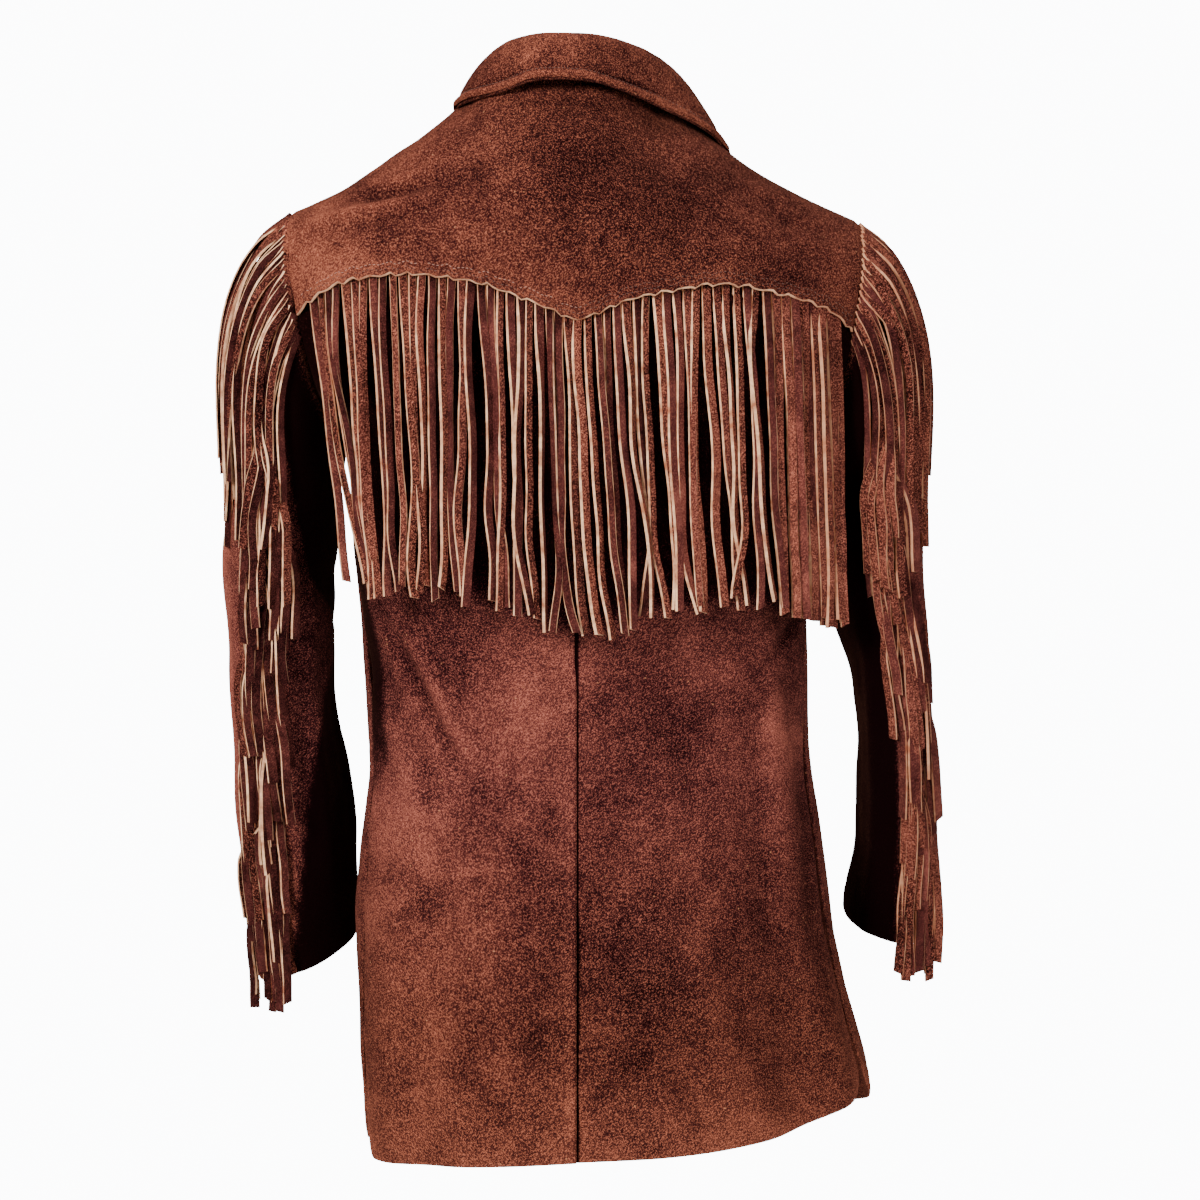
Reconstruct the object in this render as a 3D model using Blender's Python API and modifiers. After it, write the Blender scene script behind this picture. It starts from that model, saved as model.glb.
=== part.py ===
"""A fringed suede jacket, worn: hollow cloth walls on a general figure.

The wearer faces -Y, so the back is towards +Y and the wearer's left is +X. The origin is where the
wearer holds the jacket up, between the shoulders at the level of the nape. Metres, +Z up.

Every panel is a sheet of points worked out from the tables of sections below, made a wall one hide
thick. The body has four quarters, a side and a face of each: share 0 is the centre line and 1 the
side seam or armhole, rise 0 is the hem, 1 the level of the armpits and 2 the neck and shoulder seam.
"""
import math

import bmesh
import bpy
import numpy as np
from mathutils import Vector
from mathutils.bvhtree import BVHTree

# ---------------------------------------------------------------- sizes
WALL = 0.0018              # one hide
GAP = 0.0003               # between two pieces at a seam
SEAM_PULL = 0.00025        # how far each piece stops short of a seam on the body
TOP_PULL = 0.00030         # and of the shoulder seam
ARMPIT_HEIGHT = -0.285
VENT_HEIGHT = -0.745       # top of the side vents
VENT_RISE = 0.25           # the part of the rise from hem to armpits that is below it
BELOW_TOP = 1.97           # a rise just below the top edge, where the form still bends evenly
VENT_SPREAD = 0.004        # how far its edges draw back
UNDER = 0.0013             # between two pieces where one lies on the other
SECTION_POWER = 2.4        # 2 is an ellipse, more is squarer
FRINGE_LENGTH = 0.248
FRINGE_REACH = 0.006       # thickness of the space that a fringe takes up
FRINGE_TOP = 0.0030        # how far below the yoke's edge it starts, clear of it
FRINGE_CLEAR = 0.0040      # how far it hangs off the back
FRINGE_SHARE = 0.93        # how far out to the sides it goes
ARM_FRINGE_LENGTH = 0.222
ARM_FRINGE_TOP = 0.006     # how far below the armhole it starts
ARM_FRINGE_CLEAR = 0.0068
ARM_FRINGE_TURNS = (-35.0, 92.0)
SLEEVE_FRINGE_TOP = 0.004  # how far below the armhole's fringe it starts
SLEEVE_FRINGE_FOOT, SLEEVE_FRINGE_DROP = 0.030, 0.010  # how far it hangs past the cuff behind, and everywhere
SLEEVE_FRINGE_CLEAR, SLEEVE_FRINGE_REACH = 0.0020, 0.010
SLEEVE_FRINGE_TURNS = (48.0, 112.0)
BUTTON_RADIUS = 0.011
BUTTON_THICKNESS = 0.0036
BUTTON_CLEAR = 0.0014      # a flat button over the curve of the front
BUTTON_HEIGHTS = (-0.125, -0.255, -0.385, -0.515, -0.645)

SIDES = ("left", "right")
SIGN = {"left": 1.0, "right": -1.0}
BACK, FRONT = 1.0, -1.0

# half width to the wearer's left and right, and how far behind the middle the side seam lies
WIDTHS = {
    "height": (-0.860, -0.800, -0.730, -0.650, -0.600, -0.530, -0.450, -0.400, -0.340, -0.285),
    "left":   (0.1720, 0.1745, 0.1780, 0.1787, 0.1755, 0.1705, 0.1745, 0.1790, 0.1840, 0.1870),
    "right":  (0.2430, 0.2365, 0.2200, 0.2050, 0.1965, 0.1877, 0.1877, 0.1880, 0.1890, 0.1900),
    "seam":   (0.0450, 0.0450, 0.0450, 0.0430, 0.0400, 0.0350, 0.0280, 0.0220, 0.0150, 0.0100),
}
# the centre lines of back and front: how far each stands from the middle
BACK_LINE = {
    "height": (-0.860, -0.780, -0.700, -0.600, -0.500, -0.400, -0.285, -0.200, -0.130, -0.060, 0.000),
    "depth":  (0.1400, 0.1330, 0.1240, 0.1110, 0.1040, 0.1130, 0.1260, 0.1300, 0.1250, 0.1030, 0.0720),
}
FRONT_LINE = {
    "height": (-0.870, -0.780, -0.700, -0.600, -0.500, -0.400, -0.285, -0.200, -0.140, -0.085),
    "depth":  (0.1520, 0.1460, 0.1390, 0.1300, 0.1260, 0.1320, 0.1400, 0.1360, 0.1180, 0.0850),
}
# the hems, round from the centre line to the side seam, before the corner is rounded
HEM_SHARE = (0.00, 0.30, 0.60, 0.85, 1.00)
HEMS = {
    ("left", BACK):   (-0.8400, -0.8440, -0.8480, -0.8510, -0.8510),
    ("right", BACK):  (-0.8400, -0.8360, -0.8260, -0.8080, -0.7940),
    ("left", FRONT):  (-0.8520, -0.8510, -0.8500, -0.8480, -0.8440),
    ("right", FRONT): (-0.8520, -0.8450, -0.8320, -0.8150, -0.8000),
}
# the rounded corner at each vent: the share of the hem it takes, and how high it is
HEM_CORNERS = {
    ("left", BACK): (0.10, 0.034), ("right", BACK): (0.06, 0.012),
    ("left", FRONT): (0.20, 0.068), ("right", FRONT): (0.16, 0.030),
}
# soft folds that run up from the hem and fade out: where, how wide and how far out
FOLDS = (
    dict(side="right", face=BACK, share=0.72, width=0.10, out=-0.007, top=-0.42),
    dict(side="right", face=BACK, share=0.88, width=0.08, out=0.006, top=-0.42),
    dict(side="left", face=BACK, share=0.62, width=0.12, out=-0.005, top=-0.48),
    dict(side="right", face=FRONT, share=0.55, width=0.12, out=-0.006, top=-0.45),
    dict(side="left", face=FRONT, share=0.60, width=0.12, out=-0.005, top=-0.45),
)

# neck: its middle, and the loop from the nape (turn 0) by the side (90) to the front (180)
NECK_MIDDLE = 0.012
NECK_HALF_WIDTH = 0.072
NECK_BACK, NECK_FRONT, NECK_SIDE_DEPTH = 0.072, -0.085, 0.008
NECK = {
    "turn":   (0.0, 45.0, 90.0, 120.0, 150.0, 180.0),
    "height": (0.000, 0.002, 0.004, -0.020, -0.060, -0.085),
}
NECK_SHARE = 0.37          # the part of each quarter's top edge that is neck
SHOULDER_SAG = 0.10        # how far the shoulder seam hangs below a straight line, of its fall

# shoulder tips and armholes
TIPS = {"left": (0.232, -0.094), "right": (0.228, -0.102)}
ARMHOLE_DEPTH = 0.010      # the middle of the armhole, from front to back
ARMHOLE_REACH = {BACK: 0.066, FRONT: 0.062}
ARMHOLE_POWER = 2.0
ACROSS_FRONT_CUT = 0.016   # how much narrower the chest is than the back
# rows above the armpits: how fast they stop turning round the side, and how they dip at the top
ROW_TURN_POWER, ROW_DIP = 1.2, -0.4
# over the shoulder seam the cloth runs level: how far back and up it goes, and which columns do
LEVEL_BACK, LEVEL_UP = 0.27, 0.03
LEVEL_FROM, LEVEL_OVER, LEVEL_TIP = 0.20, 0.45, 0.25

# the yoke's lower edge on each side of the centre point
YOKE_EDGE = {
    "left": {"across": (0.000, 0.022, 0.045, 0.080, 0.133, 0.183, 0.205, 0.224),
             "height": (-0.193, -0.183, -0.174, -0.162, -0.155, -0.160, -0.170, -0.184)},
    "right": {"across": (0.000, 0.018, 0.039, 0.071, 0.115, 0.161, 0.198, 0.224),
              "height": (-0.193, -0.186, -0.177, -0.170, -0.164, -0.170, -0.181, -0.202)},
}

# where the lap of the left front over the right one has died away, and over what width it does
LAP_END, LAP_EASE = 0.070, 0.032

# sleeves below the armpit: inner and outer edge across, middle and half depth
SLEEVES = {
    "left": {
        "height": (-0.720, -0.660, -0.600, -0.540, -0.470, -0.400, -0.330),
        "inner":  (0.1830, 0.1830, 0.1850, 0.1910, 0.2000, 0.1990, 0.1930),
        "outer":  (0.2680, 0.2750, 0.2800, 0.2810, 0.2850, 0.2865, 0.2850),
        "middle": (-0.0600, -0.0480, -0.0320, -0.0150, -0.0030, 0.0020, 0.0060),
        "depth":  (0.0460, 0.0490, 0.0530, 0.0570, 0.0620, 0.0680, 0.0700),
    },
    "right": {
        "height": (-0.720, -0.660, -0.600, -0.540, -0.470, -0.400, -0.330),
        "inner":  (0.2210, 0.2210, 0.2290, 0.2290, 0.2230, 0.2030, 0.1950),
        "outer":  (0.3010, 0.3000, 0.2970, 0.2920, 0.2860, 0.2820, 0.2800),
        "middle": (-0.0600, -0.0480, -0.0320, -0.0150, -0.0030, 0.0020, 0.0060),
        "depth":  (0.0460, 0.0490, 0.0530, 0.0570, 0.0620, 0.0680, 0.0700),
    },
}
SLEEVE_POWER = 2.2
SLEEVE_RADIUS = 0.055
SLEEVE_TOP = -0.330
# the way a sleeve leaves the armhole: out, back and down, and how much more so at the shoulder tip
CAP_OUT, CAP_OUT_TIP, CAP_BACK, CAP_DOWN, CAP_DOWN_TIP = 0.425, 0.325, 0.25, -0.83, 0.17
CAP_FULLNESS = 1.2
SLEEVE_GAP, ARMPIT_CLEAR = 0.0005, 0.0010   # between armhole and sleeve all round, and more at the armpit
# cuff: height of its middle, and how much lower its outer and its back edge are than that
CUFFS = {"left": dict(height=-0.699, outer=0.019, back=0.014),
         "right": dict(height=-0.676, outer=0.008, back=0.012)}
BACK_SEAM, FRONT_SEAM = 85.0, 280.0   # turns round the sleeve, 0 outer, 90 back, 180 inner

# collar: the fold line, and the leaf's lower edge on each side, by turn from the nape
FOLD = {
    "turn":   (0.0, 15.0, 45.0, 90.0, 135.0, 180.0),
    "height": (0.0390, 0.0387, 0.0355, 0.0240, -0.0200, -0.0520),
}
COLLAR_MIDDLE = 0.010
FOLD_HALF_WIDTH = 0.058
FOLD_BACK, FOLD_FRONT, FOLD_SIDE = 0.062, -0.078, 0.002
LEAF_END = 171.0
# the leaf comes off the fold a little upwards and ends steeply; how full both ends of the curve are
LEAF_UP, LEAF_OUT, LEAF_FULLNESS = 0.35, 0.45, 0.9
# how far the leaf stays off the body behind, and beside and in front
LEAF_CLEAR_BACK, LEAF_CLEAR, LEAF_BACK_TURN = 0.0026, 0.0062, 80.0
STAND_GAP, LEAF_GAP = 0.0008, 0.0005   # over the neck seam, and over the fold
LEAF = {
    "left": {"turn":   (0.0, 15.0, 45.0, 90.0, 130.0, LEAF_END),
             "across": (0.0120, 0.0300, 0.0620, 0.0980, 0.0980, 0.0780),
             "depth":  (0.0880, 0.0860, 0.0660, 0.0120, -0.0700, -0.1250),
             "height": (0.0020, 0.0016, -0.0050, -0.0100, -0.0750, -0.1550)},
    "right": {"turn":   (0.0, 15.0, 45.0, 90.0, 130.0, LEAF_END),
              "across": (-0.0120, 0.0070, 0.0620, 0.1190, 0.1120, 0.0700),
              "depth":  (0.0880, 0.0860, 0.0610, 0.0060, -0.0720, -0.1280),
              "height": (0.0020, 0.0012, -0.0140, -0.0460, -0.1000, -0.1580)},
}

# rows and columns of each kind of sheet; four columns of the body run up to each quarter of the neck
NECK_COLUMNS, SHOULDER_COLUMNS = 4, 6
BODY_ROWS, TOP_ROWS, YOKE_ROWS, FRONT_TOP_ROWS = 12, 3, 6, 7
SLEEVE_COLUMNS, SLEEVE_CAP_ROWS, SLEEVE_ROWS = 9, 6, 8
LEAF_ROWS = 5
FRINGE_ROWS = 6

SUEDE = dict(color=(0.16, 0.055, 0.034, 1.0), roughness=0.95, metallic=0.0)
FRINGE_SUEDE = dict(color=(0.12, 0.045, 0.032, 1.0), roughness=0.95, metallic=0.0)
HORN = dict(color=(0.045, 0.022, 0.014, 1.0), roughness=0.35, metallic=0.0)


# ---------------------------------------------------------------- small helpers
def smooth(table, column, key, value):
    """A value of a table's column at a key, on a smooth curve that never overshoots its rows."""
    xs = np.array(table[key], dtype=float)
    ys = np.array(table[column], dtype=float)
    step = np.diff(xs)
    slope = np.diff(ys) / step
    bend = np.zeros(len(xs))
    bend[0], bend[-1] = slope[0], slope[-1]
    for i in range(1, len(xs) - 1):
        if slope[i - 1] * slope[i] > 0.0:
            a = 2.0 * step[i] + step[i - 1]
            b = step[i] + 2.0 * step[i - 1]
            bend[i] = (a + b) / (a / slope[i - 1] + b / slope[i])
    value = min(max(value, xs[0]), xs[-1])
    i = min(int(np.searchsorted(xs, value, side="right")) - 1, len(step) - 1)
    u = (value - xs[i]) / step[i]
    return hermite(ys[i], ys[i + 1], bend[i] * step[i], bend[i + 1] * step[i], u)


def hermite(start, end, start_slope, end_slope, u):
    """The cubic between two points with the given slopes."""
    return ((2 * u**3 - 3 * u**2 + 1) * start + (u**3 - 2 * u**2 + u) * start_slope
            + (3 * u**2 - 2 * u**3) * end + (u**3 - u**2) * end_slope)


def ease(u):
    """0 to 1 with flat ends."""
    u = min(max(u, 0.0), 1.0)
    return u * u * (3.0 - 2.0 * u)


def unit(vector):
    return vector / max(np.linalg.norm(vector), 1e-12)


def along(points, share):
    """The point at a share of a polyline's length."""
    lengths = np.concatenate(([0.0], np.cumsum(np.linalg.norm(np.diff(points, axis=0), axis=1))))
    place = share * lengths[-1]
    return np.array([np.interp(place, lengths, points[:, axis]) for axis in range(3)])


# ---------------------------------------------------------------- the body's form
def section(side, face, height, share):
    """A point of one level section, from the centre line round to the side seam."""
    width = smooth(WIDTHS, side, "height", height)
    seam = smooth(WIDTHS, "seam", "height", height)
    back = smooth(BACK_LINE, "depth", "height", height)
    front = smooth(FRONT_LINE, "depth", "height", height)
    power = 2.0 / SECTION_POWER
    seam_turn = math.acos((seam / back) ** (1.0 / power))
    turns = np.linspace(0.0, 1.0, 40)
    if face == BACK:
        angle = turns * seam_turn
        across, depth = width * np.sin(angle) ** power, back * np.cos(angle) ** power
    else:
        angle = turns * math.pi / 2
        past = np.linspace(math.pi / 2, seam_turn, 10)[1:]
        across = np.concatenate((width * np.sin(angle) ** power, width * np.sin(past) ** power))
        depth = np.concatenate((-front * np.abs(np.cos(angle)) ** power, back * np.cos(past) ** power))
    points = np.stack((SIGN[side] * across, depth, np.full(len(across), height)), axis=1)
    point = along(points, share)
    for fold in FOLDS:
        if fold["side"] == side and fold["face"] == face and height < fold["top"]:
            bump = math.exp(-((share - fold["share"]) / fold["width"]) ** 2) * (1.0 - share**8)
            grown = ease((fold["top"] - height) / (fold["top"] + 0.80))
            point = point + unit(point * (1.0, 1.0, 0.0)) * fold["out"] * bump * grown
    return point


def hem(side, face, share):
    """Height of the hem, with its corner rounded at the vent."""
    height = smooth({"share": HEM_SHARE, "hem": HEMS[side, face]}, "hem", "share", share)
    part, rise = HEM_CORNERS[side, face]
    round_off = max(0.0, (share - (1.0 - part)) / part)
    return height + rise * (1.0 - math.sqrt(max(0.0, 1.0 - round_off**2)))


def armhole(side, turn):
    """The armhole: turn 0 at the shoulder tip, 90 at the back, 180 at the armpit, 270 in front."""
    angle = math.radians(turn)
    tip_across, tip_height = TIPS[side]
    pit_across = smooth(WIDTHS, side, "height", ARMPIT_HEIGHT)
    drop = (1.0 - math.cos(angle)) / 2.0
    face = BACK if math.sin(angle) >= 0.0 else FRONT
    across = pit_across + (tip_across - pit_across) * (1.0 - drop**ARMHOLE_POWER)
    if face == FRONT:
        across -= ACROSS_FRONT_CUT * math.sin(angle) ** 2
    depth = ARMHOLE_DEPTH + ARMHOLE_REACH[face] * math.sin(angle)
    return np.array((SIGN[side] * across, depth, tip_height + (ARMPIT_HEIGHT - tip_height) * drop))


def neck(side, turn):
    """The neck seam: turn 0 at the nape, 90 at the side, 180 in front."""
    angle = math.radians(turn)
    reach = NECK_BACK - NECK_SIDE_DEPTH if turn <= 90.0 else NECK_SIDE_DEPTH - NECK_FRONT
    return np.array((NECK_MIDDLE + SIGN[side] * NECK_HALF_WIDTH * math.sin(angle),
                     NECK_SIDE_DEPTH + reach * math.cos(angle),
                     smooth(NECK, "height", "turn", turn)))


def top_edge(side, face, share):
    """The top of a quarter: its part of the neck, then the shoulder seam out to the tip."""
    if share < NECK_SHARE:
        turn = 90.0 * share / NECK_SHARE
        return neck(side, turn if face == BACK else 180.0 - turn)
    out = (share - NECK_SHARE) / (1.0 - NECK_SHARE)
    start, end = neck(side, 90.0), armhole(side, 0.0)
    point = start + (end - start) * out
    point[2] = start[2] + (end[2] - start[2]) * (out + SHOULDER_SAG * math.sin(math.pi * out))
    return point


def centre_line(face, climb):
    """The centre line above the armpits, moving over to the neck's middle."""
    table, top = (BACK_LINE, 0.0) if face == BACK else (FRONT_LINE, NECK["height"][-1])
    height = ARMPIT_HEIGHT + (top - ARMPIT_HEIGHT) * climb
    return np.array((NECK_MIDDLE * ease(climb), face * smooth(table, "depth", "height", height), height))


def upper_row(side, face, climb, share):
    """A row above the armpits, one curve from the centre line to the armhole."""
    start = centre_line(face, climb)
    end = armhole(side, 180.0 * (1.0 - climb) if face == BACK else 180.0 * (1.0 + climb))
    turn = math.radians(90.0 * (1.0 - climb) ** ROW_TURN_POWER)
    leave = unit(np.array((SIGN[side] * math.cos(turn), -face * math.sin(turn), ROW_DIP * climb)))
    fullness = 1.0 if turn < 1e-6 else 2.0 * math.tan(turn / 4.0) / math.sin(turn / 2.0)
    length = np.linalg.norm(end - start) * fullness
    return hermite(start, end, np.array((SIGN[side] * length, 0.0, 0.0)), leave * length, share)


def upper(side, face, climb, share):
    """The body above the armpits: rows that start as the armpit section and end as the top edge."""
    point = upper_row(side, face, climb, share)
    at_pit = section(side, face, ARMPIT_HEIGHT, share) - upper_row(side, face, 0.0, share)
    at_top = top_edge(side, face, share) - upper_row(side, face, 1.0, share)
    point = point + (1.0 - ease(climb)) * at_pit + climb**4 * at_top
    # over the shoulder seam the cloth runs level, front to back
    small = 0.01
    slope = (upper_row(side, face, 1.0, share) - upper_row(side, face, 1.0 - small, share)) / small
    slope = slope + 4.0 * at_top
    level = np.array((0.0, -face * LEVEL_BACK, LEVEL_UP))
    weight = ease((share - LEVEL_FROM) / LEVEL_OVER) * ease((1.0 - share) / LEVEL_TIP)
    return point + (climb**3 - climb**2) * weight * (level - slope)


def body(side, face, share, rise):
    """A point of the body's outside; a share below 0 is on the other side of the centre line."""
    if share < 0.0:
        side, share = ("right" if side == "left" else "left"), -share
    if rise < VENT_RISE:
        low = hem(side, face, share)
        return section(side, face, low + (VENT_HEIGHT - low) * rise / VENT_RISE, share)
    if rise <= 1.0:
        part = (rise - VENT_RISE) / (1.0 - VENT_RISE)
        return section(side, face, VENT_HEIGHT + (ARMPIT_HEIGHT - VENT_HEIGHT) * part, share)
    return upper(side, face, rise - 1.0, share)


def body_normal(side, face, share, rise):
    """The body's outward direction, taken a little inside its edges."""
    step = 0.004
    share = min(max(share, step - 1.0), 0.985 if rise > 1.0 else 1.0 - step)
    rise = min(max(rise, step), BELOW_TOP)
    if 0.97 < rise < 1.05 and share > 0.9:
        share, rise = min(share, 1.0 - step), 0.97
    across = body(side, face, share + step, rise) - body(side, face, share - step, rise)
    up = body(side, face, share, rise + step) - body(side, face, share, rise - step)
    return unit(np.cross(across, up)) * (-face * SIGN[side])


def yoke_height(across):
    """Height of the yoke's lower edge."""
    edge = YOKE_EDGE["left" if across >= 0.0 else "right"]
    return smooth(edge, "height", "across", abs(across))


def rise_at(side, face, share, height_of):
    """The rise, above the armpits, at which a column reaches a height that depends on its place."""
    low, high = 1.0, 2.0
    for _ in range(30):
        middle = (low + high) / 2.0
        point = body(side, face, share, middle)
        if point[2] < height_of(point[0]):
            low = middle
        else:
            high = middle
    return (low + high) / 2.0


# ---------------------------------------------------------------- the sleeves' form
def cuff_height(side, turn):
    angle, cuff = math.radians(turn), CUFFS[side]
    return cuff["height"] - cuff["outer"] * math.cos(angle) - cuff["back"] * math.sin(angle)


def sleeve_section(side, turn, height):
    table, angle = SLEEVES[side], math.radians(turn)
    inner, outer = (smooth(table, name, "height", height) for name in ("inner", "outer"))
    power = 2.0 / SLEEVE_POWER
    cosine, sine = math.cos(angle), math.sin(angle)
    across = (inner + outer) / 2 + (outer - inner) / 2 * math.copysign(abs(cosine) ** power, cosine)
    depth = smooth(table, "middle", "height", height)
    depth += smooth(table, "depth", "height", height) * math.copysign(abs(sine) ** power, sine)
    return np.array((SIGN[side] * across, depth, height))


def sleeve(side, turn, fall):
    """A point of a sleeve's outside: fall 0 at the armhole, 1 at the armpit's level, 2 at the cuff."""
    if fall >= 1.0:
        height = SLEEVE_TOP + (cuff_height(side, turn) - SLEEVE_TOP) * (fall - 1.0)
        return sleeve_section(side, turn, height)
    angle = math.radians(turn)
    leave = unit(np.array((SIGN[side] * (CAP_OUT + CAP_OUT_TIP * math.cos(angle)), CAP_BACK * math.sin(angle),
                           CAP_DOWN + CAP_DOWN_TIP * math.cos(angle))))
    clear = np.array((SIGN[side] * ARMPIT_CLEAR * (1.0 - math.cos(angle)) / 2.0, 0.0, 0.0))
    start = armhole(side, turn) + leave * SLEEVE_GAP + clear
    end = sleeve_section(side, turn, SLEEVE_TOP)
    length = np.linalg.norm(end - start)
    return hermite(start, end, leave * length * CAP_FULLNESS, np.array((0.0, 0.0, -length)), fall)


def sleeve_normal(side, turn, fall):
    step, fall = 0.01, min(max(fall, 0.012), 1.985)
    around = sleeve(side, turn + 1.0, fall) - sleeve(side, turn - 1.0, fall)
    down = sleeve(side, turn, fall + step) - sleeve(side, turn, fall - step)
    return unit(np.cross(around, down)) * -SIGN[side]


def seam_normal(own, other):
    """Where two walls meet at a ridge, both are cut along the line between them."""
    return unit(own + max(0.0, float(np.dot(own, other))) ** 2 * other)


def armhole_place(turn):
    """The quarter and rise of the body at a turn of the armhole."""
    turn %= 360.0
    return (BACK, 2.0 - turn / 180.0) if turn <= 180.0 else (FRONT, turn / 180.0)


# ---------------------------------------------------------------- making objects
def material(name, look):
    made = bpy.data.materials.get(name) or bpy.data.materials.new(name)
    made.use_nodes = True
    shader = made.node_tree.nodes["Principled BSDF"]
    shader.inputs["Base Color"].default_value = look["color"]
    shader.inputs["Roughness"].default_value = look["roughness"]
    shader.inputs["Metallic"].default_value = look["metallic"]
    return made


def wall(collection, name, outer, inner, look):
    """A closed wall between two sheets of points of the same rows and columns."""
    rows, columns = len(outer), len(outer[0])
    sheet = bmesh.new()
    bmesh.ops.create_grid(sheet, x_segments=columns - 1, y_segments=rows - 1, size=1.0)
    number = sheet.verts.layers.int.new("number")
    sheet.verts.ensure_lookup_table()
    for index, vertex in enumerate(sheet.verts):
        vertex[number] = index
    bmesh.ops.extrude_face_region(sheet, geom=sheet.faces[:])
    seen = set()
    for vertex in sheet.verts:
        row, column = divmod(vertex[number], columns)
        vertex.co = Vector(inner[row][column] if vertex[number] in seen else outer[row][column])
        seen.add(vertex[number])
    bmesh.ops.recalc_face_normals(sheet, faces=sheet.faces[:])
    mesh = bpy.data.meshes.new(name)
    sheet.to_mesh(mesh)
    sheet.free()
    mesh.materials.append(material(name, look))
    mesh.shade_smooth()
    mesh.set_sharp_from_angle(angle=math.radians(40.0))
    made = bpy.data.objects.new(name, mesh)
    collection.objects.link(made)
    return made


def thick(collection, name, points, normals, look, depth=WALL):
    """A wall that goes in from its outside by its thickness."""
    inner = [[p - n * depth for p, n in zip(*pair)] for pair in zip(points, normals)]
    return wall(collection, name, points, inner, look)


def sheet_normals(points, outward):
    """The directions across a sheet of points, all turned to the side of `outward`."""
    grid = np.array(points)
    across, up = np.gradient(grid, axis=1), np.gradient(grid, axis=0)
    normals = np.cross(across, up)
    normals /= np.maximum(np.linalg.norm(normals, axis=2, keepdims=True), 1e-12)
    flip = np.sign(np.sum(normals * outward(grid), axis=2, keepdims=True))
    return normals * np.where(flip == 0.0, 1.0, flip)


# ---------------------------------------------------------------- body panels
def shares(reach=1.0):
    """The columns from the centre line out to the side, one of them at the neck's corner."""
    neck_part = [NECK_SHARE * i / NECK_COLUMNS for i in range(NECK_COLUMNS)]
    rest = [NECK_SHARE + (1.0 - NECK_SHARE) * i / SHOULDER_COLUMNS for i in range(SHOULDER_COLUMNS + 1)]
    return [share * reach for share in neck_part + rest]


def pulled(side, face, share, rise, first=False):
    """A point at a seam, half a gap in from it, and more below the top of a vent."""
    point = body(side, face, share, rise)
    if first or share >= 1.0:
        inside = body(side, face, share + (0.01 if first else -0.01), rise)
        vent = 0.0 if first else VENT_SPREAD * ease((VENT_HEIGHT - point[2]) / 0.05)
        point = point + unit(inside - point) * (SEAM_PULL + vent)
    return point


def armhole_body_normal(side, face, rise):
    """At the armhole a body wall shares its cut with the sleeve."""
    own = body_normal(side, face, 1.0, rise)
    turn = 180.0 * (2.0 - rise) if face == BACK else 180.0 * rise
    return seam_normal(own, sleeve_normal(side, turn, 0.0)) if rise > 1.04 else own


def back_panel(collection, side):
    """One half of the back, from the hem to the yoke's first row, under the yoke."""
    points, normals = [], []
    columns = [(share, rise_at(side, BACK, share, yoke_height)) for share in shares()]
    for row in range(BODY_ROWS + TOP_ROWS + 2):
        row_points, row_normals = [], []
        for share, foot in columns:
            if row <= BODY_ROWS:
                rise = row / BODY_ROWS
            elif row <= BODY_ROWS + TOP_ROWS:
                rise = 1.0 + (foot - 1.0) * (row - BODY_ROWS) / TOP_ROWS
            else:
                rise = foot + (2.0 - foot) / YOKE_ROWS
            point = pulled(side, BACK, share, rise, first=share == 0.0)
            normal = body_normal(side, BACK, share, rise)
            if share >= 1.0:
                normal = armhole_body_normal(side, BACK, rise)
            under = WALL + UNDER * (1.0 + 1.6 * share) if row >= BODY_ROWS + TOP_ROWS else 0.0
            row_points.append(point - normal * under)
            row_normals.append(normal)
        points.append(row_points)
        normals.append(row_normals)
    return thick(collection, f"back_{side}", points, normals, SUEDE)


def yoke_panel(collection):
    """The back yoke, from armhole to armhole."""
    columns = [("right", share) for share in shares()[::-1]] + [("left", share) for share in shares()[1:]]
    columns = [(side, share, rise_at(side, BACK, share, yoke_height)) for side, share in columns]
    points, normals = [], []
    for row in range(YOKE_ROWS + 1):
        row_points, row_normals = [], []
        for side, share, foot in columns:
            rise = foot + (2.0 - foot) * row / YOKE_ROWS
            point = pulled(side, BACK, share, rise)
            normal = body_normal(side, BACK, share, rise)
            if share >= 1.0:
                normal = armhole_body_normal(side, BACK, rise)
            elif row == YOKE_ROWS and share >= NECK_SHARE:
                normal = unit(normal + body_normal(side, FRONT, share, rise))
            if row == YOKE_ROWS:
                point = point + unit(body(side, BACK, share, BELOW_TOP) - point) * TOP_PULL
            row_points.append(point)
            row_normals.append(normal)
        points.append(row_points)
        normals.append(row_normals)
    return thick(collection, "yoke_back", points, normals, SUEDE)


def lap_lift(side, across):
    """The left front lies on the right one where they lap."""
    return (WALL + UNDER) * ease((LAP_END - across) / LAP_EASE) if side == "left" else 0.0


def front_panel(collection, side):
    """A front, from one column past the centre line round to the side seam."""
    columns = [-NECK_SHARE / NECK_COLUMNS] + shares()
    points, normals = [], []
    for row in range(BODY_ROWS + FRONT_TOP_ROWS + 1):
        row_points, row_normals = [], []
        rise = row / BODY_ROWS if row <= BODY_ROWS else 1.0 + (row - BODY_ROWS) / FRONT_TOP_ROWS
        for share in columns:
            point = pulled(side, FRONT, share, rise)
            normal = body_normal(side, FRONT, share, rise)
            if share >= 1.0:
                normal = armhole_body_normal(side, FRONT, rise)
            elif rise >= 2.0 and share >= NECK_SHARE:
                normal = unit(normal + body_normal(side, BACK, share, rise))
            if rise >= 2.0:
                point = point + unit(body(side, FRONT, share, BELOW_TOP) - point) * TOP_PULL
            row_points.append(point + normal * lap_lift(side, SIGN[side] * point[0]))
            row_normals.append(normal)
        points.append(row_points)
        normals.append(row_normals)
    return thick(collection, f"front_{side}", points, normals, SUEDE)


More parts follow.
